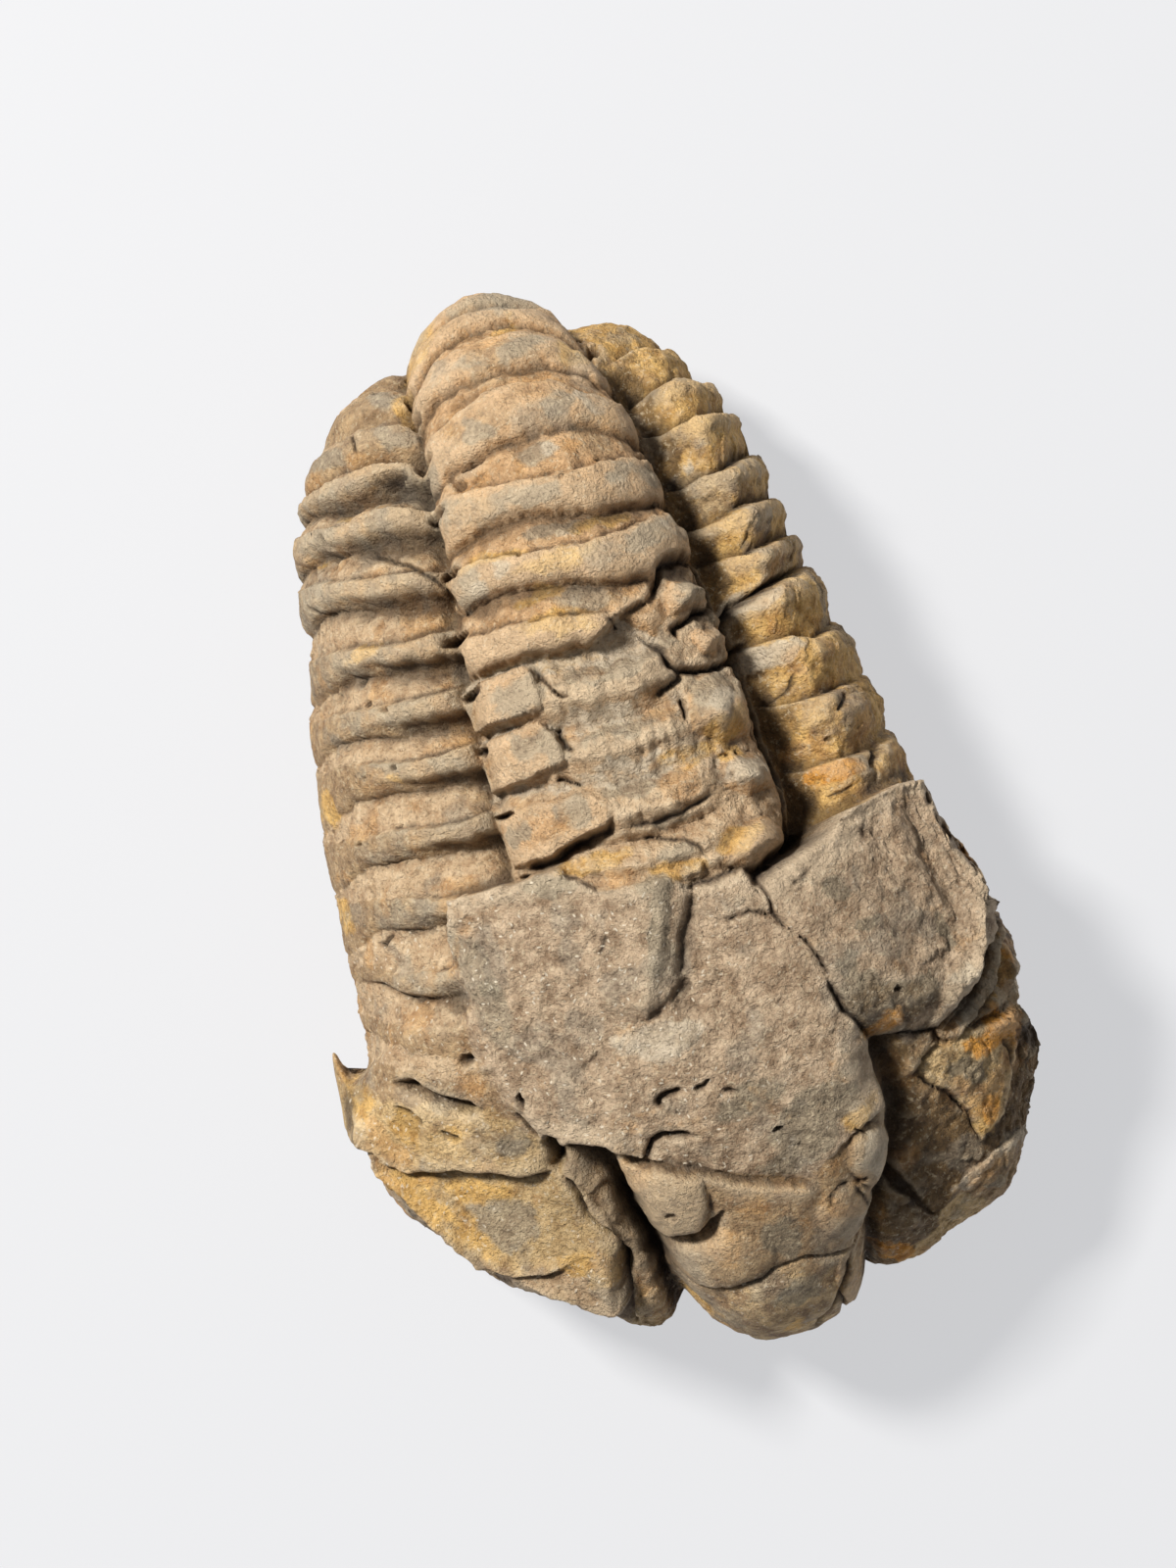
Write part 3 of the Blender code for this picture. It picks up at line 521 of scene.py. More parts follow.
# %% Where ribs and rings begin: places in mm with nothing of them, and with all of them
TAIL_TURN = (0.50, 0.95)        # cosine of the angle from +Y
TAIL_LOW_Z, TAIL_LOSS = (16.0, 9.0), 0.85
RIBS_Y, RINGS_Y = (-12.5, -9.0), (10.2, 11.0)
SIDE_Z, SIDE_SHARE = (3.0, 8.0), 0.35       # share that is left low on the sides
AXIS_SIDE = (0.97, 1.04)        # half widths of the axis
WEDGE_X = (-16.5, -11.0)
PILLOW_GAP = (0.3, 2.4)         # beyond the axis
SHALLOW_TAIL = [(0.7, 26.2, 28.0), (0.4, 27.0, 30.5), (0.35, 21.5, 24.5)]   # loss, y: left, right, rings


# %% Filling the lines with a profile
def run_on(lines, levels):
    """The lines, with level ones before them that ring the tail's hidden end."""
    return [[(-7.0, v), (7.0, v)] for v in levels] + lines


def bands(x, along, lines):
    """Which band each point is in (odd: between a ledge and a groove), and 1 to 0 across it."""
    heights = np.array([lookup(line, x) for line in lines])
    number, phase = np.full(x.shape, -1), np.zeros(x.shape)
    for order, (upper, lower) in enumerate(zip(heights, heights[1:])):
        part = (along - lower) / (upper - lower)
        held = (part >= 0.0) & (part < 1.0)
        number, phase = np.where(held, order, number), np.where(held, part, phase)
    return number, phase


# Profiles: places across a band, and heights there as shares of the depth
TILE_LOW = ([0.0, 0.05, 0.3, 0.8, 1.0], [-0.14, -0.42, -0.5, -0.78, -1.0])
TILE_CREST = ([0.0, 0.05, 0.12, 0.25, 0.5, 0.95, 1.0], [-1.0, -0.72, -0.3, -0.08, 0.05, 0.0, -0.14])
WEDGE_CREST = ([0.0, 0.1, 0.3, 0.42, 0.55, 0.95, 1.0], [-1.0, -0.95, -0.75, -0.25, -0.04, 0.04, -0.14])
PILLOW_CAP = ([0.0, 0.1, 0.5, 0.8, 0.9, 1.0], [-0.14, -0.02, 0.04, -0.06, -0.3, -1.0])
PILLOW_LOW = ([0.0, 0.1, 0.3, 0.6, 0.9, 1.0], [-1.0, -0.85, -0.62, -0.42, -0.28, -0.14])
BEYOND_BANDS = -0.4


def filled(number, phase, even, odd):
    """The profile for each band, where even bands and odd bands differ."""
    height = np.where(number % 2 == 1, np.interp(phase, *odd), np.interp(phase, *even))
    return np.where(number < 0, BEYOND_BANDS, height)


# %% [markdown]
# ## The bared middle of the axis
# Over a stretch of the axis a layer 1.5 mm thick has split off. Blocks of it stayed along both
# furrows, with square broken ends, and between them lies the smoother mould of the inside, with
# bands that sag towards the head. The left blocks rise headward, and the right ones are faceted.

# %% Blocks and bands
SPALL_DEPTH = 1.5
LEFT_BLOCKS = [
    [(-7.8, 10.9), (-6.3, 11.2), (-3.4, 11.5), (-2.8, 10.6), (-2.9, 8.4), (-7.8, 8.1)],
    [(-7.8, 7.2), (-3.2, 7.7), (-2.4, 6.6), (-2.4, 4.5), (-4.5, 4.3), (-7.8, 3.9)],
    [(-7.8, 2.0), (-6.4, 2.6), (-3.0, 2.3), (-1.3, 2.2), (-0.5, 1.4), (-0.9, 0.1), (-3.0, -0.4),
     (-5.0, -1.0), (-7.8, -1.1)]]
LEFT_BLOCK_TILT = (-0.06, -0.08)            # rise per mm along x and y
LEFT_BLOCK_AT = (-5.0, -0.15)               # x where it has this height in mm
RIGHT_BLOCKS = [                # outline, apex, height
    ([(6.9, 11.9), (6.7, 13.4), (7.3, 14.4), (8.4, 14.0), (9.5, 12.7), (8.6, 12.0)], (8.3, 12.9), 2.2),
    ([(4.2, 11.9), (3.2, 13.0), (6.0, 13.6), (6.8, 13.2), (6.9, 12.0), (5.6, 11.0)], (5.2, 12.3), 1.1),
    ([(7.9, 9.0), (7.7, 10.0), (8.2, 10.7), (9.1, 10.4), (9.6, 9.4), (8.8, 8.5)], (8.6, 9.8), 1.5),
    ([(9.0, 11.3), (10.2, 11.9), (10.8, 11.0), (10.3, 10.0), (9.4, 10.3)], (9.9, 11.0), 1.5),
    ([(6.1, 4.2), (6.3, 6.6), (7.6, 7.8), (9.6, 7.0), (10.3, 5.0), (9.9, 2.9), (8.4, 2.8)],
     (8.2, 5.0), 2.5),
    ([(7.2, 0.2), (7.0, 1.6), (8.0, 2.6), (9.3, 2.0), (10.5, 1.0), (10.2, -0.7), (8.4, -0.9)],
     (8.7, 0.4), 2.3),
    ([(5.4, -4.9), (6.4, -3.2), (7.6, -2.3), (9.0, -2.1), (10.6, -3.2), (11.2, -4.5), (8.0, -5.6)],
     (8.3, -3.7), 2.4)]
BARED_AXIS = [(-7.9, 11.6), (-3.0, 11.9), (1.0, 11.4), (3.2, 12.6), (6.4, 13.8), (6.9, 15.4), (9.7, 15.2),
              (10.9, 8.0), (11.0, 0.0), (11.4, -4.8), (8.0, -6.0), (2.6, -5.0), (-2.6, -4.0),
              (-4.8, -2.0), (-8.2, -2.0)]
BARED_Y = [-5.0, -4.2, -3.6, -2.9, -2.2, -1.4, -0.7, -0.1, 0.6, 1.0, 2.0, 2.7, 3.2, 3.9, 4.7, 5.2,
           6.0, 6.7, 7.2, 7.9, 8.4, 8.9, 10.0, 10.8, 11.4]
BARED_LEVEL = [0.2, -0.1, 0.3, 0.1, 0.35, 0.0, -0.35, 0.1, 0.25, 0.45, 0.4, 0.05, -0.2, 0.0, 0.2, 0.4,
               0.4, 0.0, -0.3, -0.05, 0.15, 0.4, 0.45, -0.1, -0.3]
BARED_HEIGHT = 2.3              # mm for a level of 1
BARED_SAG = 0.9                 # mm
BARED_MIDDLE, BARED_HALF = 2.2, 6.0         # mm along x
BARED_END = (7.5, 4.5)          # x where the bands are gone, and where they are whole
BLOCK_EDGE = 0.13


def bared_bands(x, y):
    """Height of the sagging bands."""
    sag = BARED_SAG * (1.0 - ((x - BARED_MIDDLE) / BARED_HALF) ** 2).clip(-0.6)
    return BARED_HEIGHT * np.interp(y + sag, BARED_Y, BARED_LEVEL) * ramp(*BARED_END, x)


def bared_axis(x, y):
    """Mask of the bared stretch, its height above the rings' level, and the mask of its blocks."""
    mask = inside(x, y, BARED_AXIS, 0.14)
    height = bared_bands(x, y) - SPALL_DEPTH
    kept = np.zeros(x.shape)
    (tilt_x, tilt_y), (at, level) = LEFT_BLOCK_TILT, LEFT_BLOCK_AT
    for block in LEFT_BLOCKS:
        held = inside(x, y, block, BLOCK_EDGE)
        middle = np.mean(block, axis=0)[1]
        height = height * (1.0 - held) + (tilt_y * (y - middle) + tilt_x * (x - at) + level) * held
        kept = np.maximum(kept, held)
    for block, apex, rise in RIGHT_BLOCKS:
        facets = pyramid(x, y, block, apex, rise)
        height += facets
        kept = np.maximum(kept, ramp(0.0, 0.15, facets))
    return mask, height, kept


# %% [markdown]
# ## The worn patch
# Across the shoulders the ribs are worn away to bare, flat stone. A slope runs through it, where
# the left slab stands two millimetres above the right one. Its outline is a chain of points, and
# a soft edge on the left lets the last ribs fade under it.

# %% Patch and slabs
PATCH = [(-12.0, -2.0), (-4.8, -2.0), (-3.5, -3.0), (-2.5, -4.1), (2.2, -4.4), (2.9, -5.3),
         (6.8, -5.1), (7.5, -6.0), (10.8, -5.0), (14.0, -3.6), (17.5, -2.8), (21.0, -3.2),
         (23.5, -10.0), (22.0, -14.0), (19.6, -17.0), (16.4, -19.2), (12.0, -18.4),
         (11.8, -21.0), (11.6, -23.0), (9.2, -23.8), (5.0, -26.0), (-2.0, -23.2), (-7.0, -20.4),
         (-10.5, -19.0), (-12.2, -16.2), (-13.6, -12.4), (-13.4, -8.0), (-12.8, -4.0)]
SLAB_STEP = [(-1.2, -13.5), (-0.2, -11.2), (0.8, -9.0), (1.7, -7.0), (2.4, -4.6), (2.6, -3.0)]
SLAB_FOOT = [(0.8, -11.0), (1.2, -10.3), (1.8, -8.5), (2.8, -7.0), (3.3, -5.6)]
SLAB_BEND = [(10.7, -15.3), (12.2, -14.9), (13.5, -14.7), (16.0, -15.5), (18.0, -16.6), (21.0, -17.8)]
SLAB_LEFT_EDGE = [(-19.0, 11.7), (-16.5, 11.0), (-14.5, 10.5)]      # y, x in mm
SLAB_FALL = 0.38                # mm per mm
PATCH_LEVEL = [(-14.0, 0.4), (-8.0, 2.2), (0.0, 3.6), (8.0, 3.4), (14.0, 2.7), (18.0, 1.7),
               (21.0, 0.4)]     # x, mm
PATCH_STEPS = [(SLAB_STEP, 2.0, 1.2, 4.5)]  # line, height, edge and fade in mm
PATCH_CUTS = [(SLAB_FOOT, 0.4, 0.25, 0.15)]         # line, depth and width in mm, blunt share
FRONT_DROP = 1.6                # at the patch's right front corner
CHIP_DEPTH = 0.35
PATCH_CHIPS = [(0.2, -11.9, 1.1, 0.3, 35), (-0.9, -12.6, 1.0, 0.28, 20), (1.0, -11.6, 0.4, 0.5, -20)]


def worn_patch(x, y, z):
    """Mask of the worn stone, its height above the loaf, and the fall of the right slab's end."""
    crisp, soft = inside(x, y, PATCH, 0.12), inside(x, y, PATCH, 1.0)
    left_side = ramp(-9.0, -12.0, x) * ramp(-4.0, -6.0, y)
    mask = (crisp * (1.0 - left_side) + soft * left_side) * ramp(11.0, 15.0, z)
    level = lookup(PATCH_LEVEL, x) + along_lines(x, y, PATCH_STEPS, PATCH_CUTS)
    level -= CHIP_DEPTH * spots(x, y, PATCH_CHIPS, 0.2)
    level -= FRONT_DROP * ramp(9.5, 12.3, x) * ramp(-16.5, -20.0, y)
    past_bend = np.maximum(0.0, lookup(SLAB_BEND, x) - y)
    on_slab = ramp(0.0, 0.4, x - lookup(SLAB_LEFT_EDGE, y)) * ramp(22.0, 19.5, x) * mask
    return mask, level, SLAB_FALL * past_bend * on_slab


# %% [markdown]
# ## The head
# The middle of the head keeps its side lobes, set off by furrows. The left cheek is whole: a
# deep furrow parts it from the middle, a sharp fold crosses it, and it ends in a short spine. The
# right cheek is broken down in flakes, each a small tilted plane below the worn patch.

# %% Head lines
CHEEK_FOLD = [(-24.5, -15.0), (-22.3, -16.4), (-21.3, -17.9), (-19.8, -18.9), (-17.0, -19.4),
              (-14.9, -20.1), (-13.0, -20.9), (-10.4, -21.3)]
CHEEK_SLIT = [(-19.2, -12.8), (-18.2, -13.4), (-17.3, -14.1), (-15.5, -15.5), (-14.1, -15.9)]
CHEEK_RIDGE = [(-22.6, -15.0), (-22.0, -17.8), (-20.4, -20.6), (-18.5, -23.7), (-17.0, -25.9),
               (-15.0, -27.1), (-12.5, -27.4), (-10.4, -27.2)]
CHEEK_GUTTER = [(-23.2, -15.5), (-22.6, -18.2), (-21.0, -21.1), (-19.1, -24.2), (-17.5, -26.5),
                (-15.2, -27.9), (-12.5, -28.2), (-10.6, -28.0)]
FURROW_SLIT = [(-6.9, -22.6), (-6.5, -25.2), (-5.8, -27.2), (-5.4, -29.0), (-5.2, -31.0),
               (-5.1, -33.6), (-5.8, -35.0)]
FLANGE = [(-23.0, -15.0), (-22.3, -17.8), (-20.6, -20.8), (-18.7, -23.9), (-17.1, -26.2),
          (-15.0, -27.3), (-12.5, -27.6), (-8.0, -27.6), (-8.4, -30.6), (-9.0, -35.0),
          (-20.0, -30.0), (-26.0, -20.0)]
SANDY_LUMP, SANDY_RISE = (-7.0, -33.0, 1.7, 1.9, 0), 2.2
LOBE_STEP = [(6.2, -26.6), (4.9, -26.2), (2.6, -25.4), (0.8, -24.8), (-1.8, -23.3), (-3.6, -22.6),
             (-5.0, -22.2), (-6.9, -21.0)]
LOBE_HOLLOW = [(-5.2, -27.0), (-4.3, -27.6), (-3.0, -28.05), (-1.8, -27.8), (-0.6, -26.5)]
FRONT_FURROW = [(-5.2, -30.3), (-3.5, -31.3), (-1.0, -31.9), (0.6, -32.0), (1.7, -31.4), (3.4, -31.2),
                (5.2, -31.5), (7.1, -31.6), (8.2, -30.7), (9.0, -29.2)]
HEAD_SWELLINGS = [              # oval, rise
    ((-3.9, -25.0, 2.7, 2.7, 0), 1.3), ((9.9, -25.8, 1.7, 2.1, 0), 1.0),
    ((7.3, -28.9, 2.0, 2.0, 0), 0.5), ((6.6, -34.2, 1.2, 2.0, 15), 0.4),
    ((-1.5, -29.7, 3.6, 1.9, -10), 0.6), ((1.0, -34.3, 4.5, 2.2, 0), 0.6)]
FLANK_SWELLINGS = [((17.4, 2.3, 2.0, 1.4, 8), 0.5), ((16.8, 7.0, 1.8, 1.3, 0), 0.35),
                   ((16.5, 11.0, 1.3, 1.9, 20), 0.4), ((18.7, -1.4, 1.2, 2.0, 0), 0.6)]

# %% Flakes of the right cheek, and the furrow of the left one
CHEEK_CRACK = [(10.3, -27.6), (11.5, -28.3), (12.1, -29.5), (13.3, -31.6), (11.8, -30.2), (10.8, -29.2)]
HEAD_FURROW = [(-10.0, -19.6), (-6.6, -20.4), (-6.4, -21.8), (-6.2, -25.2), (-5.2, -27.4),
               (-4.9, -30.5), (-4.5, -33.6), (-6.4, -34.8), (-8.9, -33.6), (-9.3, -31.8),
               (-8.0, -29.2), (-7.7, -27.0), (-8.1, -25.5), (-9.2, -23.0), (-9.6, -21.0)]
FLAKES = [                      # outline, drop in mm, fall per mm along x and y
    ([(11.9, -18.3), (16.4, -19.0), (16.9, -20.4), (19.0, -20.5), (23.0, -20.0), (25.0, -23.0),
      (22.0, -29.0), (18.0, -33.5), (13.0, -36.0), (8.4, -36.0), (8.7, -33.0), (9.6, -28.6),
      (10.9, -27.6), (11.6, -26.0), (11.7, -24.0), (11.9, -22.0)], 1.1, -0.05, 0.0),
    ([(11.9, -18.2), (14.0, -18.7), (16.4, -19.1), (15.7, -20.4), (14.2, -21.9), (12.5, -22.4),
      (11.9, -21.6)], 0.6, -0.05, 0.25),
    ([(11.9, -21.6), (12.5, -22.4), (14.2, -21.9), (15.6, -23.2), (16.8, -24.5), (17.3, -26.0),
      (17.6, -27.7), (16.5, -29.3), (15.2, -30.0), (13.3, -31.6), (12.2, -31.0), (11.0, -28.8),
      (10.9, -27.6), (11.6, -26.0), (11.7, -24.0)], 1.5, -0.12, 0.05),
    ([(14.2, -21.9), (16.0, -20.1), (19.0, -20.2), (22.2, -19.4), (21.6, -22.0), (20.8, -24.2),
      (19.5, -26.4), (17.6, -27.8), (17.2, -26.0), (16.8, -24.5), (15.6, -23.2)], 0.6, 0.26, 0.14),
    ([(22.2, -19.6), (24.5, -22.0), (22.5, -27.0), (21.0, -28.4), (20.0, -28.0), (16.5, -29.3),
      (17.6, -27.7), (19.5, -26.4), (21.1, -23.4)], 2.3, 0.0, 0.0),
    ([(15.2, -30.0), (16.5, -29.3), (18.0, -28.7), (20.0, -28.0), (21.2, -27.9), (20.5, -30.4),
      (18.4, -33.0), (16.6, -32.4)], 1.0, 0.3, 0.25),
    ([(12.2, -31.1), (13.3, -31.6), (15.2, -30.0), (16.6, -32.4), (18.4, -33.0), (15.0, -35.0),
      (12.0, -35.0)], 1.7, 0.1, 0.15),
    ([(8.5, -35.5), (8.7, -31.0), (9.5, -28.2), (10.6, -28.0), (12.2, -31.0), (12.4, -35.0),
      (10.8, -36.0)], 1.3, 0.2, 0.0),
    (CHEEK_CRACK, 2.4, 0.0, 0.0),
    (HEAD_FURROW, 1.0, -0.75, -0.12)]

# %% Shoulders, terraces and the layers of the rim
SHOULDER_RISE, SHOULDER_IN, SHOULDER_WIDTH = 1.7, 3.4, 2.4      # mm; in from the rim
TERRACES = [                    # outline, a point on the plane in mm, its rise per mm, its edge
    ([(-26.0, -14.0), (-19.0, -14.5), (-10.0, -19.5), (-8.2, -27.0), (-8.4, -36.0), (-26.0, -36.0)],
     (-14.0, -24.0, 18.3), (0.27, 0.12), 1.2),
    ([(22.2, -10.5), (27.0, -10.5), (27.0, -22.0), (22.2, -21.0), (19.0, -20.8), (16.8, -19.8),
      (18.6, -17.2), (20.4, -15.8)], (22.0, -16.0, 17.6), (-0.7, 0.15), 0.8),
    ([(8.2, -6.0), (12.5, -4.0), (17.0, -2.8), (24.0, -2.8), (25.0, -8.0), (22.2, -12.0), (20.5, -16.0),
      (18.8, -17.4), (16.3, -19.1), (12.0, -18.4), (10.6, -15.5), (10.2, -13.0), (9.0, -10.0)],
     (14.5, -9.0, 22.4), (-0.12, 0.0), 0.5)]
RIM_SLIT = [(22.9, -12.3), (22.2, -13.8), (21.2, -15.7), (20.1, -17.3), (18.3, -17.9), (17.0, -18.7),
            (16.2, -19.5)]
RIM_STEP = [(14.2, -21.9), (15.4, -20.9), (16.3, -20.2), (16.6, -19.4)]
LAYER_EDGES = [[(17.6, -20.6), (19.6, -19.2), (21.4, -17.4), (22.8, -14.6), (23.1, -12.4)],
               [(16.9, -19.6), (18.9, -18.4), (20.6, -16.6), (21.9, -14.0), (22.5, -11.8)],
               [(19.4, -17.2), (20.8, -14.9), (21.5, -12.9), (21.9, -10.5), (21.6, -8.0), (20.9, -6.0)],
               [(20.2, -17.6), (21.6, -15.3), (22.3, -13.0), (22.6, -10.6), (22.3, -8.4)],
               [(18.9, -19.9), (21.4, -18.9), (23.4, -16.6)]]
HEAD_STEPS = [                  # line, height, edge and fade in mm
    (CHEEK_FOLD, 1.5, 0.14, 2.2), (LOBE_STEP, 1.2, 0.16, 2.0), (RIM_STEP, 0.5, 0.16, 1.5),
    *[(edge, 0.7, 0.12, 0.7) for edge in LAYER_EDGES]]
HEAD_CUTS = [                   # line, depth and width in mm, blunt share
    (CHEEK_FOLD, 0.5, 0.25, 0.15), (CHEEK_RIDGE, -0.55, 0.35, 0.15), (CHEEK_GUTTER, 0.5, 0.4, 0.15),
    (CHEEK_SLIT, 2.2, 0.34, 0.15), (LOBE_HOLLOW, 2.4, 0.36, 0.3), (FRONT_FURROW, 0.35, 0.11, 0.2),
    (LOBE_STEP, 0.4, 0.2, 0.15), *[(edge, 0.4, 0.14, 0.15) for edge in LAYER_EDGES]]
DEEP_CUTS = [(RIM_SLIT, 0.8, 0.35, 0.15), (FURROW_SLIT, 3.0, 0.65, 0.15)]


def head_relief(x, y):
    """Height of the head's own lines and lobes."""
    height = along_lines(x, y, HEAD_STEPS, HEAD_CUTS)
    for spot, rise in HEAD_SWELLINGS + FLANK_SWELLINGS:
        height += rise * swelling(x, y, spot)
    return height


def shoulders(x, y, z):
    """How far the right flank, the left cheek, the right slab and its rim stand above the loaf."""
    from_rim = outline_radius(np.arctan2(y, x)) - np.hypot(x, y)
    right = SHOULDER_RISE * np.exp(-((from_rim - SHOULDER_IN) / SHOULDER_WIDTH) ** 2)
    right *= ramp(8.0, 12.0, x) * ramp(-19.0, -14.0, y) * ramp(31.0, 26.0, y)
    raised = np.zeros(x.shape)
    for shape, (x0, y0, z0), (rise_x, rise_y), edge in TERRACES:
        missing = np.maximum(0.0, z0 + rise_x * (x - x0) + rise_y * (y - y0) - z - right)
        held = inside(x, y, shape, edge) * ramp(0.0, 0.9, from_rim)
        raised = raised * (1.0 - held) + missing * held
    return right + raised


def head_drop(x, y, z):
    """How far the deep furrow and the flakes fall straight down."""
    drop, flaked = np.zeros(x.shape), np.zeros(x.shape)
    for shape, depth, fall_x, fall_y in FLAKES:
        held = inside(x, y, shape, 0.16)
        cx, cy = np.mean(shape, axis=0)
        drop = drop * (1.0 - held) + (depth - fall_x * (x - cx) - fall_y * (y - cy)) * held
        flaked = np.maximum(flaked, held)
    drop -= along_lines(x, y, [], DEEP_CUTS) + SANDY_RISE * swelling(x, y, SANDY_LUMP)
    spread = np.hypot(x, y) / outline_radius(np.arctan2(y, x))
    drop *= (1.0 - 0.75 * ramp(0.8, 1.0, spread)) * ramp(RIM_HEIGHT - 2.0, RIM_HEIGHT + 4.0, z)
    return drop, flaked


# %% [markdown]
# ## Cracks, pits and chips
# Cracks are fine dark lines, so each is a chain of a few points with its own width and depth. The
# pits along the furrows are where muscles held the shell. Chips are small broken hollows.

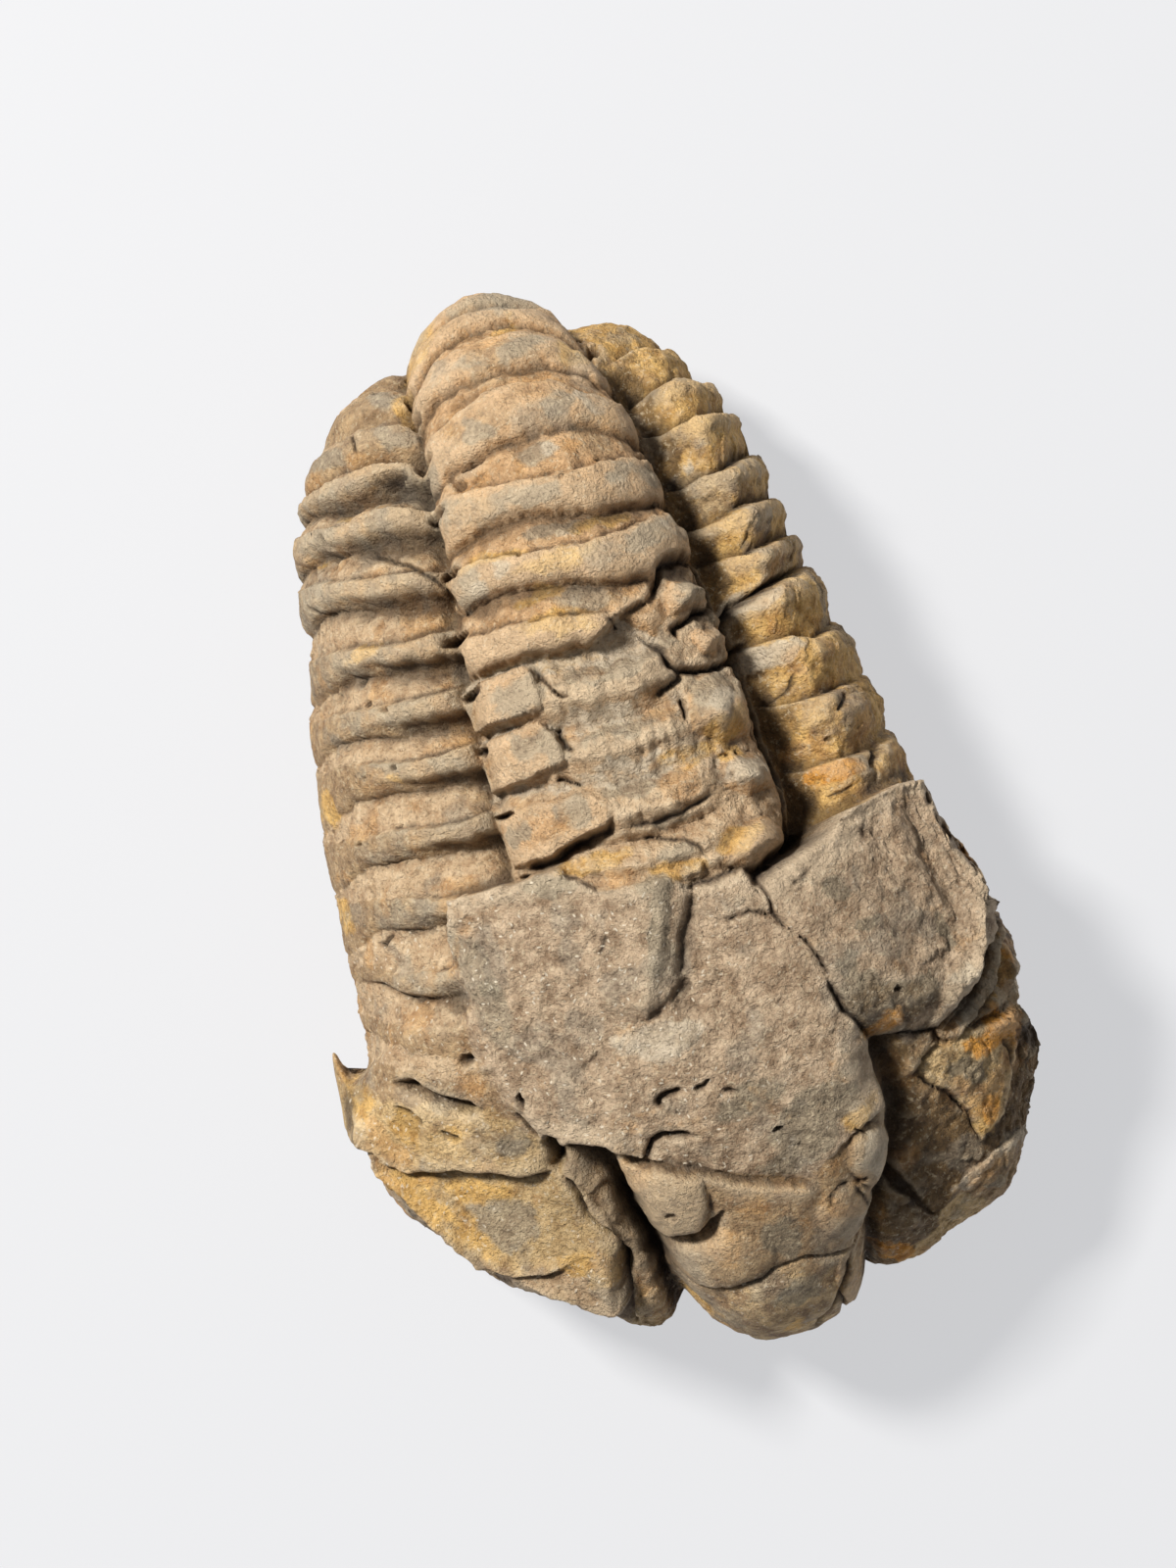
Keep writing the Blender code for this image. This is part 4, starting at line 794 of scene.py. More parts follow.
# %% Cracks: line, width, depth
CRACKS = [
    ([(-11.4, 21.8), (-10.0, 20.8), (-9.0, 20.2), (-8.0, 19.2), (-7.3, 18.6), (-6.7, 17.3),
      (-6.4, 16.4), (-5.5, 15.7)], 0.13, 0.6),
    ([(-14.8, 22.6), (-13.8, 22.25), (-12.8, 22.1)], 0.2, 0.7),
    ([(-11.7, 22.0), (-11.2, 21.6), (-10.0, 20.9)], 0.14, 0.4),
    ([(-16.0, 19.7), (-15.5, 18.8), (-14.9, 18.4)], 0.1, 0.3),
    ([(-13.6, 25.4), (-12.0, 25.1), (-9.5, 25.3), (-7.6, 25.5)], 0.12, 0.3),
    ([(-10.1, 28.2), (-10.0, 29.0), (-9.9, 30.0)], 0.12, 0.25),
    ([(-2.8, 11.2), (-2.4, 10.4), (-2.0, 9.5), (-1.6, 8.9), (-0.8, 8.4)], 0.14, 0.8),
    ([(-2.1, 7.1), (-2.3, 6.3), (-2.1, 5.6), (-1.6, 5.0)], 0.2, 0.9),
    ([(4.5, 11.2), (5.1, 10.4), (5.75, 9.9), (5.9, 8.8), (6.5, 8.2), (7.5, 8.0), (8.5, 7.8),
      (10.0, 8.1), (11.0, 8.8), (12.5, 8.9)], 0.22, 1.3),
    ([(7.0, 10.2), (6.9, 11.0), (8.0, 11.4), (9.0, 11.7), (9.6, 12.2)], 0.22, 1.2),
    ([(6.0, 13.4), (6.6, 14.3), (6.9, 15.2), (7.6, 15.4), (9.5, 15.3)], 0.24, 1.2),
    ([(2.8, 12.9), (3.3, 12.2)], 0.13, 0.4),
    ([(10.0, 6.0), (10.1, 4.5), (9.8, 3.2), (10.5, 1.8), (11.1, 1.0), (11.1, 0.2), (11.3, -1.3)],
     0.16, 0.9),
    ([(5.9, 6.6), (6.05, 5.8), (5.9, 5.1)], 0.16, 0.8),
    ([(4.4, 7.1), (5.0, 7.45), (5.9, 7.75), (6.6, 8.0)], 0.28, 0.8),
    ([(-7.2, -1.5), (-5.0, -1.5), (-3.0, -0.9), (-0.9, -0.4), (-0.4, 0.5)], 0.36, 1.2),
    ([(-3.3, 3.7), (-2.5, 3.4), (-1.6, 2.7)], 0.14, 0.6),
    ([(0.5, -1.4), (2.7, -1.9), (3.6, -2.3), (4.4, -3.0), (4.9, -4.0)], 0.12, 0.5),
    ([(0.0, -0.5), (2.0, -0.75), (4.0, -0.6), (6.5, 0.0)], 0.2, 0.35),
    ([(9.8, 10.1), (11.0, 11.0), (12.0, 11.5), (13.5, 12.1), (15.2, 12.6), (16.7, 13.1)], 0.22, 1.2),
    ([(12.5, 4.6), (13.4, 5.2), (13.7, 5.9), (13.9, 6.3)], 0.12, 0.3),
    ([(15.6, 3.0), (16.3, 3.4), (17.0, 3.9)], 0.12, 0.35),
    ([(14.0, -2.3), (15.0, -2.2), (15.8, -2.0)], 0.12, 0.4),
    ([(18.1, 0.1), (17.6, -0.7), (16.9, -1.2)], 0.16, 0.7),
    ([(7.5, -6.2), (7.9, -7.4), (7.9, -8.5), (8.4, -9.5), (8.9, -10.0)], 0.11, 0.5),
    ([(8.9, -10.0), (9.4, -10.7), (9.7, -11.6), (10.1, -12.3), (10.2, -13.7)], 0.11, 0.5),
    ([(10.2, -13.7), (10.5, -14.9), (10.7, -16.0), (11.3, -17.0), (11.8, -18.2)], 0.2, 0.9),
    ([(4.4, -8.2), (5.3, -8.15), (6.5, -7.9), (7.1, -8.3), (7.9, -8.5)], 0.11, 0.45),
    ([(9.4, -7.0), (10.2, -6.9), (10.9, -6.4)], 0.1, 0.2),
    ([(-4.7, -2.2), (-3.9, -2.8), (-3.3, -3.4), (-2.4, -4.2)], 0.13, 0.6),
    ([(-3.7, -8.0), (-3.3, -7.3), (-2.9, -6.9)], 0.14, 0.25),
    ([(-2.5, -18.9), (-2.65, -18.2), (-2.0, -17.9), (-0.8, -17.8)], 0.2, 0.9),
    ([(-0.3, -18.1), (0.4, -18.25), (0.95, -17.8)], 0.14, 0.6),
    ([(1.5, -18.8), (2.1, -18.9), (2.7, -19.1)], 0.12, 0.4),
    ([(-4.8, -22.0), (-4.3, -21.7), (-3.9, -20.9), (-3.0, -20.6), (-2.0, -20.8), (-0.8, -21.2)],
     0.2, 1.0),
    ([(-12.0, -16.6), (-11.1, -18.0), (-10.8, -18.5)], 0.16, 0.8),
    ([(-10.3, -18.7), (-10.1, -19.9), (-10.2, -21.3)], 0.42, 2.6),
    ([(-9.6, -19.6), (-8.4, -20.0), (-7.3, -20.4), (-6.4, -20.7)], 0.35, 1.6),
    ([(-10.1, -21.6), (-9.7, -22.3), (-9.5, -23.7), (-9.2, -25.0), (-8.3, -26.2), (-7.7, -27.0)],
     0.15, 0.9),
    ([(-22.7, -14.6), (-22.5, -15.6), (-22.3, -16.6)], 0.1, 0.3),
    ([(-19.8, -14.3), (-18.8, -15.0), (-17.9, -16.0)], 0.16, 0.5),
    ([(-17.2, -16.6), (-16.5, -17.1), (-15.9, -17.4)], 0.16, 0.5),
    ([(6.9, -31.9), (6.4, -33.0), (5.6, -33.9), (5.0, -34.8), (4.0, -35.8), (3.4, -37.0)], 0.16, 0.6),
    ([(5.45, -34.1), (5.7, -35.3), (5.3, -37.2)], 0.18, 0.6),
    ([(-7.7, -27.3), (-7.9, -29.0), (-8.4, -30.6), (-8.6, -32.4), (-8.2, -33.2)], 0.42, 2.2),
    ([(9.1, -23.4), (9.8, -24.2)], 0.12, 0.3),
    ([(9.2, -26.9), (8.4, -27.3)], 0.12, 0.3),
    ([(6.3, -28.3), (6.4, -27.5), (7.2, -27.0), (8.0, -26.9)], 0.11, 0.3),
    ([(8.2, -27.3), (8.7, -28.5), (8.9, -29.6)], 0.11, 0.3),
    ([(7.0, -5.4), (7.6, -6.1), (9.0, -5.4), (10.8, -4.7), (12.8, -3.9)], 0.45, 2.4),
    ([(2.6, -5.2), (5.0, -5.4), (6.9, -5.0)], 0.2, 0.9),
    ([(20.9, -23.9), (21.0, -22.4), (20.6, -21.0)], 0.12, 0.4),
    ([(14.2, -21.8), (16.3, -23.9), (17.1, -25.3), (17.4, -27.4)], 0.14, 0.5),
    ([(-18.9, -6.0), (-17.9, -6.6), (-16.4, -7.8), (-14.7, -7.8)], 0.15, 0.5),
    ([(-17.9, -3.4), (-17.5, -3.8), (-16.8, -3.2)], 0.12, 0.4)]

# %% Pits and chips: x, y, half width, half height, turn, depth
PITS = [
    (-5.8, 31.8, 0.5, 0.35, 0, 1.4), (-5.8, 29.6, 0.65, 0.4, 0, 1.6), (-6.0, 26.5, 0.8, 0.36, 8, 1.8),
    (-6.1, 22.6, 0.85, 0.36, 5, 1.8), (-6.2, 18.6, 0.75, 0.42, 5, 1.8),
    (-7.1, 14.4, 0.95, 0.3, 10, 1.6), (-7.1, 10.6, 0.8, 0.4, 20, 1.6), (-7.5, 6.7, 0.5, 0.28, 0, 1.0),
    (-7.2, 2.35, 0.8, 0.27, 0, 1.6), (-7.2, -1.8, 0.55, 0.18, 0, 1.0), (6.3, 32.7, 0.4, 0.25, 0, 1.0),
    (7.2, 31.4, 0.6, 0.45, -20, 1.4), (7.3, 29.6, 0.3, 0.25, 0, 0.9), (8.2, 26.3, 0.45, 0.25, -20, 1.2),
    (8.7, 22.5, 0.8, 0.4, -10, 1.0)]
CHIPS = [
    (-8.5, 26.0, 1.4, 0.3, 3, 1.3), (-2.8, 25.05, 0.9, 0.3, 18, 1.0), (-4.0, 24.0, 0.45, 0.5, 0, 0.7),
    (-4.4, 24.6, 0.25, 0.3, 0, 0.5), (-1.6, 18.3, 0.2, 0.2, 0, 0.6), (2.4, 22.35, 0.22, 0.16, 0, 0.4),
    (6.1, 22.6, 0.22, 0.16, 0, 0.4), (5.0, 23.0, 0.25, 0.16, 30, 0.4), (-13.6, 23.3, 0.2, 0.35, 0, 0.6),
    (-15.5, 21.5, 0.14, 0.5, 15, 0.5), (-14.5, 13.6, 0.4, 0.16, 20, 0.5),
    (5.9, 18.3, 1.2, 0.22, 10, 0.4), (-15.9, 12.1, 0.14, 0.3, 0, 0.4),
    (-14.0, 12.0, 0.35, 0.24, 0, 0.6), (-12.6, 11.2, 0.32, 0.26, 0, 0.5),
    (-17.0, 8.4, 0.16, 0.14, 0, 0.4), (-13.0, 7.4, 0.28, 0.2, 0, 0.5),
    (-15.3, 7.35, 0.18, 0.12, 0, 0.3), (-17.1, 3.1, 0.16, 0.16, 0, 0.4),
    (-18.4, 3.6, 0.14, 0.12, 0, 0.3), (7.9, 2.15, 0.16, 0.13, 0, 0.5), (8.5, 2.1, 0.18, 0.16, 0, 0.5),
    (-3.9, -25.5, 0.45, 0.26, 0, 0.4), (4.4, -22.2, 0.38, 0.22, 5, 0.8),
    (-14.1, -12.4, 0.55, 0.45, -20, 1.0), (-11.3, -15.9, 0.25, 0.6, 0, 1.0),
    (4.5, -4.4, 0.3, 0.4, 0, 0.5), (-2.2, 29.2, 1.7, 0.6, 8, 0.3), (13.3, 1.4, 0.35, 0.16, 0, 0.4),
    (14.9, 1.4, 0.45, 0.2, 0, 0.5), (-19.0, -15.5, 0.9, 1.2, 20, 0.4), (14.2, -15.5, 0.3, 0.2, 0, 0.5),
    (2.9, -1.0, 1.4, 0.5, 0, 0.3)]


def hollows(x, y, rows):
    """Depth of the pits and chips, and a mask of them."""
    depth, mask = np.zeros(x.shape), np.zeros(x.shape)
    for *spot, deep in rows:
        bowl = swelling(x, y, spot)
        depth, mask = depth + deep * bowl, np.maximum(mask, bowl * min(1.0, deep))
    return depth, mask


# %% [markdown]
# ## Putting the relief together
# Order matters: the lobes first, then ribs and rings, then what broke them away, then the fine
# breaks, and the grain last. Several steps also leave a mask, which the finish uses for colours.
# The places are shifted a little by noise first, so that no edge runs as straight as it is drawn.

# %% Noise that moves edges, and noise that roughens
EDGE_WANDER = ((0.14, 1.3), (0.08, 0.5))    # reach and lump size in mm
SWELL = ((0.12, 0.08, 3.1, 0.0), (0.05, 0.05, 1.5, 50.0))       # height, more where rough, size, shift
FINE_GRAIN = ((0.10, 0.75, 20.0), (0.06, 0.4, 30.0))            # height, size, shift
MOSAIC = ((0.13, 1.9, 0.0), (0.09, 0.8, 33.0))                  # height, size, shift
MOSAIC_BEND, MOSAIC_BEND_SIZE = 0.25, 0.8   # mm
RIM_MOSAIC = (0.3, 1.4, 55.0)               # height, size, shift
FLUTE_STRETCH, FLUTE_SIZE, FLUTE_HEIGHT = (3.2, 0.9, 1.0), 1.2, 0.2
SMOOTH_SHARE = 0.3              # roughness of the stone where nothing broke
MOULD_X = (6.5, 5.0)
ROUGH_Z, CARVED_Z, GRAINY_Z = (4.0, 11.0), (0.5, 4.0), (0.0, 1.5)


def texture(points, x, rough, flaked, grained):
    """Height of the broken surface, more of it where the stone is rough."""
    height = sum((low + more * rough) * grain(points + shift, size) for low, more, size, shift in SWELL)
    if not grained:
        return height
    bend = np.column_stack([grain(points + 80.0 + 7.0 * axis, MOSAIC_BEND_SIZE) for axis in range(3)])
    bent = points + MOSAIC_BEND * bend
    height += rough * sum(tall * grain(points + shift, size) for tall, size, shift in FINE_GRAIN)
    height += rough * sum(tall * flaky(bent + shift, size) for tall, size, shift in MOSAIC)
    tall, size, shift = RIM_MOSAIC
    at_rim = flaked * ramp(20.0, 22.0, x) * ramp(5.0, 9.0, points[:, 2])
    return height + tall * at_rim * flaky(bent + shift, size)


# %% Ribs, rings and breaks
def segments(x, y, z, u, half):
    """Carving of ribs and rings in mm, and the masks that say where they are."""
    tail_turn = ramp(*TAIL_TURN, (y - BEND_START) / np.hypot(x, y - BEND_START).clip(0.1))
    along = y + tail_turn * np.maximum(0.0, BEND_TOP - z) * BEND_RATE
    left_band, left_phase = bands(x, y, LEFT_LINES)
    right_band, right_phase = bands(x, y, RIGHT_LINES)
    ring_band, ring_phase = bands(x, along, run_on(AXIS_LINES, RUN_ON))
    on_axis = 1.0 - ramp(*AXIS_SIDE, np.abs(u))
    on_left, on_right = (u < 0) * (1.0 - on_axis), (u >= 0) * (1.0 - on_axis)
    fade = (1.0 - TAIL_LOSS * tail_turn * ramp(*TAIL_LOW_Z, z)) * ramp(*RIBS_Y, y)
    fade *= SIDE_SHARE + (1.0 - SIDE_SHARE) * ramp(*SIDE_Z, z)
    left_share, right_share, ring_share = (1.0 - loss * ramp(start, end, y)
                                           for loss, start, end in SHALLOW_TAIL)

    wedge = ramp(*WEDGE_X, x)
    tiles = (1.0 - wedge) * filled(left_band, left_phase, TILE_LOW, TILE_CREST)
    tiles += wedge * filled(left_band, left_phase, TILE_LOW, WEDGE_CREST)
    tiles *= on_left * lookup(LEFT_DEPTH, x) * left_share
    beyond = (u - 1.0) * half
    pillows = filled(right_band, right_phase, PILLOW_CAP, PILLOW_LOW) * ramp(*PILLOW_GAP, beyond)
    pillows *= on_right * lookup(RIGHT_DEPTH, x) * right_share
    rings = on_axis * filled(ring_band, ring_phase, TILE_LOW, TILE_CREST) * ramp(*RINGS_Y, y)
    rings *= RING_DEPTH * ring_share
    masks = {"on_axis": on_axis, "on_left": on_left, "on_right": on_right, "beyond": beyond,
             "left_band": left_band, "left_phase": left_phase,
             "low_left": (left_band % 2 == 0) * on_left, "low_ring": (ring_band % 2 == 0) * on_axis}
    return (tiles + pillows) * fade + rings, masks


def breaks(x, y):
    """Depth of the cracks, pits and chips, and the masks of cracks and of pits and chips."""
    depth, broken = np.zeros(x.shape), np.zeros(x.shape)
    for line, width, deep in CRACKS:
        gap = cut(x, y, line, width)
        depth += deep * gap
        broken = np.maximum(broken, gap)
    hollow_depth, hollowed = hollows(x, y, PITS + CHIPS)
    return depth + hollow_depth, broken, hollowed


# %% The whole relief
def relief(points, grained=True):
    """Outward and downward movement of each point in mm, and the masks for the finish."""
    x, y, z = points.T
    x = wandered(x, points, EDGE_WANDER, (0.0, 9.0))
    y = wandered(y, points, EDGE_WANDER, (40.0, 70.0))
    u, half = axis_place(x, y)
    out = axis_lobe(u, y, half, z)
    carving, masks = segments(x, y, z, u, half)

    bared, bared_level, kept = bared_axis(x, y)
    carving = carving * (1.0 - bared) + bared_level * bared
    worn, worn_level, slab_fall = worn_patch(x, y, z)
    out = out * (1.0 - worn) + worn_level * worn
    depth, broken, pits = breaks(x, y)
    carving = carving * (1.0 - worn) + head_relief(x, y) - depth
    drop, flaked = head_drop(x, y, z)
    drop += slab_fall - shoulders(x, y, z) * ramp(RIM_HEIGHT, RIM_HEIGHT + 3.0, z)

    mould = bared * (1.0 - kept)
    rough = most(masks["low_left"], masks["low_ring"] * (1.0 - bared), 0.7 * masks["on_right"],
                 flaked, 0.9 * worn, 0.8 * mould)
    rough = most(SMOOTH_SHARE + (1.0 - SMOOTH_SHARE) * rough,
                 0.8 * ramp(-12.0, -15.0, y) * inside(x, y, FLANGE, 0.3))
    rough *= ramp(*ROUGH_Z, z)
    flutes = grain(points * FLUTE_STRETCH + 60.0, FLUTE_SIZE) * mould * ramp(*MOULD_X, x)
    masks.update({"bared": bared, "kept": kept, "worn": worn, "broken": broken, "pits": pits,
                  "x": x, "y": y})
    out += (carving + FLUTE_HEIGHT * flutes) * ramp(*CARVED_Z, z)
    return out + texture(points, x, rough, flaked, grained) * ramp(*GRAINY_Z, z), drop, masks


# %% [markdown]
# ## The mesh
# The grids are far finer than the finish needs. After shaping, a Decimate modifier spends the
# faces where the surface bends, so cracks keep theirs and the flat belly gives its own away.

# %% Building blocks of the mesh
SPINE_ROOT = (-23.0, -13.6)
SPINE_LENGTH = 3.6
SPINE_WIDTH = (1.15, 1.0, 3.0)  # mm along x, y and z
SPINE_ABOVE_RIM = 1.5
FINAL_TRIANGLES = 196000


def pull_spine(points):
    """Draws the point of the left cheek out into its spine."""
    root = (*SPINE_ROOT, RIM_HEIGHT + SPINE_ABOVE_RIM)
    pull = np.exp(-(((points - root) / SPINE_WIDTH) ** 2).sum(axis=1))
    points[:, 1] += SPINE_LENGTH * pull
    return points


def sheet_normals(points, count, border):
    """Outward normals of the two sheets, level at their shared rim."""
    grid = points.reshape(2, count, count, 3)
    normal = np.cross(np.gradient(grid, axis=1), np.gradient(grid, axis=2))
    normal[1] *= -1.0
    normal = normal.reshape(-1, 3)
    normal[border] = points[border] * (1.0, 1.0, 0.0)
    return normal / np.linalg.norm(normal, axis=1)[:, None].clip(1.0e-9)


def stone_faces(count, border):
    """Quads of both sheets, with the belly's border points replaced by the top's."""
    half = count * count
    index = np.arange(2 * half)
    shared = border & (index >= half)
    index[shared] -= half
    index = index.reshape(2, count, count)
    corners = (index[:, :-1, :-1], index[:, 1:, :-1], index[:, 1:, 1:], index[:, :-1, 1:])
    quads = np.stack(corners, axis=-1)
    return np.concatenate([quads[0].reshape(-1, 4), quads[1].reshape(-1, 4)[:, ::-1]])


def mesh_from(name, points, quads):
    """A mesh from arrays, without its unused points, and which points it kept."""
    used = np.unique(quads)
    new_index = np.zeros(len(points), dtype=np.int64)
    new_index[used] = np.arange(len(used))
    mesh = bpy.data.meshes.new(name)
    mesh.vertices.add(len(used))
    mesh.vertices.foreach_set("co", points[used].astype(np.float32).ravel())
    mesh.loops.add(quads.size)
    mesh.loops.foreach_set("vertex_index", new_index[quads].astype(np.int32).ravel())
    mesh.polygons.add(len(quads))
    mesh.polygons.foreach_set("loop_start", np.arange(0, quads.size, 4, dtype=np.int32))
    mesh.update(calc_edges=True)
    return mesh, used


# %% [markdown]
# Carving along the normals also carries a point sideways, so a line would end up beside its
# place. The relief is therefore worked out twice: a blurred first guess says where each point
# will end up, and the second time the lines are looked up there.

# %% Shape the stone
LIFT_BLUR = GRID // 26          # about 2 mm
grid_points = np.concatenate(loaf(GRID))
border = np.ones((GRID, GRID), dtype=bool)
border[1:-1, 1:-1] = False
border = np.tile(border.ravel(), 2)
normals = sheet_normals(grid_points, GRID, border)
first_guess = relief(grid_points, grained=False)[0].reshape(2, GRID, GRID)
lifted = grid_points + normals * box_blur(first_guess, LIFT_BLUR).reshape(-1, 1)
out, drop, masks = relief(lifted)
shaped = grid_points + normals * out[:, None]
shaped[:, 2] -= drop
shaped = pull_spine(shaped)
resting = grid_points[:, 2] <= 0.0
shaped[resting] = grid_points[resting]
shaped[:, 2] = np.maximum(shaped[:, 2], 0.0)
middle = (shaped.min(axis=0) + shaped.max(axis=0)) / 2.0
middle[2] = 0.0
print("shift to the middle, mm:", np.round(middle, 2), "size:", np.round(np.ptp(shaped, axis=0), 2))
stone_mesh, used = mesh_from("stone", (shaped - middle) * MM, stone_faces(GRID, border))

# %% [markdown]
# ## Masks for the colours
# The finish is painted by rule and from listed places: each mask says where one kind of stone, stain or
# painted shade lies.
# Ovals place the stains that matter, and some painted shade. Hollows, which get painted shade, and edges,
# which are lightened partly as rubbed wear and partly as a painted highlight, are found by comparing the
# relief with a blurred copy of itself. A ramp along x or y is 0 at its first place in mm and 1 at its
# second. The masks are stored on the mesh's points.

# %% Stains and painted shade: x, y, half width, half height, turn
GREY_SPOTS = [
    (0.8, 31.5, 3.0, 0.75, 3), (-2.1, 26.8, 1.1, 0.8, 0), (3.6, 26.9, 1.2, 0.75, 0),
    (1.3, 24.4, 1.5, 0.9, 0), (-3.5, 21.9, 2.7, 0.8, 0), (0.5, 21.7, 1.7, 0.7, 0),
    (7.9, 21.3, 0.9, 0.8, 0), (6.2, 21.6, 0.7, 0.6, 0), (0.6, 19.4, 1.9, 0.6, -5),
    (-5.4, 17.2, 1.2, 0.9, 0), (7.0, 17.1, 2.3, 0.85, 0), (2.2, 14.4, 2.7, 0.8, -12),
    (8.3, 13.2, 0.8, 1.0, 0), (1.5, 35.2, 3.0, 0.7, -8), (2.2, 9.8, 3.6, 0.6, 0),
    (3.2, 5.6, 2.6, 0.45, 2), (2.2, 1.9, 2.8, 0.6, 0), (3.3, -0.9, 1.4, 0.5, 0),
    (8.2, 6.3, 1.9, 1.2, -20), (-3.0, 1.4, 1.3, 0.8, 0), (-3.0, 9.6, 0.5, 1.5, 0),
    (-2.8, 5.9, 0.6, 1.4, 0), (-7.4, 31.6, 1.3, 0.7, 0), (-7.3, 28.7, 1.4, 0.7, 0),
    (-12.0, 28.6, 1.4, 0.7, 0), (-7.0, 25.0, 1.8, 1.3, 0), (13.0, 22.9, 1.0, 0.6, 0),
    (12.2, 18.0, 0.9, 0.8, 0), (9.7, 11.2, 1.2, 0.9, 0), (12.5, 11.4, 1.8, 0.7, 10),
    (6.0, 10.4, 0.8, 0.8, 0), (3.0, -2.9, 1.2, 0.5, 0), (-15.2, -23.8, 2.9, 1.9, -25),
    (-11.8, -8.0, 1.3, 4.5, 8), (-4.6, 9.6, 1.5, 1.0, 0), (-4.2, 6.2, 1.6, 1.0, 0),
    (-2.6, 1.2, 1.2, 0.9, 0), (-6.4, 0.8, 0.9, 0.7, 0), (1.2, 5.7, 2.8, 0.5, 0),
    (1.8, 9.2, 2.4, 0.5, 0), (2.4, 1.7, 2.4, 0.5, 0)]
# Slate grey: grey patches of the stone, and painted shade on the slab's turned-down face, on the slab
# step's slope and on the patch's front slope.
SLATE_AND_SHADE_SPOTS = [
    (12.0, -8.0, 1.0, 0.6, -20), (13.8, -10.7, 1.1, 0.5, 10), (11.8, -13.2, 0.9, 0.8, 0),
    (18.9, -13.0, 0.5, 1.4, 0), (14.4, -16.2, 3.0, 1.3, 5), (12.4, -15.0, 1.4, 1.2, 0),
    (6.8, -22.0, 3.6, 1.7, 25), (3.0, -19.8, 2.4, 1.0, 10), (12.6, -16.0, 2.0, 1.0, 0),
    (-11.5, -8.7, 0.9, 0.6, 0), (2.7, -33.3, 1.6, 0.9, 10), (2.8, -29.4, 1.4, 1.4, 0),
    (-5.6, -3.0, 1.6, 0.9, -20), (1.3, -4.7, 1.0, 0.7, 0), (18.0, -30.6, 1.0, 0.5, 15),
    (5.2, -24.4, 2.4, 1.0, 20), (0.4, -7.6, 0.8, 3.2, -22), (-12.5, -18.8, 1.4, 0.6, -15),
    (17.8, -23.0, 1.0, 1.2, 0)]
OCHRE_SPOTS = [
    (-4.3, 34.0, 1.7, 1.1, 40), (1.7, 33.7, 1.0, 0.5, 0), (4.2, 19.1, 2.2, 0.5, 0),
    (-3.6, 18.5, 2.4, 0.5, 0), (1.0, 17.0, 2.6, 0.8, 0), (-1.2, 15.4, 1.5, 0.5, 0),
    (-0.2, 13.4, 2.7, 0.8, -5), (-6.3, 30.9, 0.7, 1.2, 0), (-0.4, 10.9, 2.4, 0.4, 0),
    (5.6, 2.8, 2.0, 0.6, 0), (8.2, 3.9, 1.4, 0.9, 0), (2.8, -3.9, 1.6, 0.6, 0),
    (7.2, -3.2, 1.4, 0.8, 20), (-2.5, -2.2, 2.6, 0.6, 0), (8.2, 2.3, 0.8, 0.4, 0),
    (5.4, 30.6, 1.2, 0.8, -40), (-12.4, 24.5, 0.6, 0.5, 0), (-13.4, 6.7, 0.3, 0.4, 0),
    (-14.6, 21.9, 0.8, 0.3, 0), (-12.8, 15.2, 1.2, 0.5, 0), (-18.6, 6.0, 0.6, 1.4, 0),
    (-19.4, -1.2, 0.5, 1.2, 0), (12.8, -17.3, 1.8, 0.7, 10), (9.8, -22.5, 1.4, 0.7, 30),
    (-19.2, -15.6, 1.0, 1.3, 20), (-16.3, -17.2, 1.2, 0.5, -20), (-21.9, -13.4, 0.8, 1.2, 0),
    (-20.0, -19.8, 2.2, 1.2, -35), (-16.5, -21.2, 3.2, 0.8, -15), (-17.9, -22.9, 0.8, 3.4, 38),
    (-10.6, -27.6, 1.9, 0.9, 0), (-9.0, -29.0, 1.3, 0.8, 0), (9.0, -34.2, 1.4, 0.6, 0),
    (2.2, -36.0, 0.7, 0.9, 0), (-3.8, -33.6, 0.7, 1.0, 0), (18.3, -26.0, 1.3, 1.2, 20),
    (9.2, -31.5, 0.8, 2.2, 0), (22.9, -14.5, 0.5, 1.6, 0), (21.4, -18.4, 1.4, 0.6, 45),
    (22.3, -16.0, 0.5, 1.4, -30)]
ORANGE_SPOTS = [
    (12.9, -17.5, 1.5, 0.6, 10), (20.9, -20.2, 1.2, 1.6, 0), (18.6, -25.4, 0.6, 1.1, 0),
    (21.6, -8.2, 0.4, 1.0, 0), (14.6, -0.8, 2.2, 0.7, 0), (19.4, -21.3, 1.2, 0.7, 0),
    (21.2, -20.4, 0.9, 1.4, 0), (9.6, -33.6, 1.5, 0.7, 0), (22.7, -14.8, 0.3, 1.7, 0)]
PALE_SPOTS = [
    (11.4, 21.8, 0.4, 0.45, 0), (-2.7, 17.6, 0.6, 0.5, 0), (-4.7, 17.0, 0.5, 0.5, 0),
    (12.9, 7.8, 2.1, 0.75, 0), (12.6, 11.6, 1.9, 0.6, 8), (-1.0, -14.6, 2.6, 1.1, 0),
    (-3.6, -14.0, 1.0, 1.0, 0), (18.8, -16.0, 1.2, 0.5, 0), (8.9, 0.9, 1.3, 1.0, 0),
    (8.3, 5.6, 0.9, 0.6, 0), (10.2, -25.8, 1.1, 1.7, 0), (2.4, 24.4, 0.8, 0.5, 0),
    (5.6, 26.6, 0.9, 0.9, 0), (1.0, 7.1, 2.6, 0.45, 0), (1.2, 3.4, 2.6, 0.4, 0),
    (22.0, -18.0, 1.6, 0.6, 35), (8.4, 17.2, 0.6, 0.8, 0)]
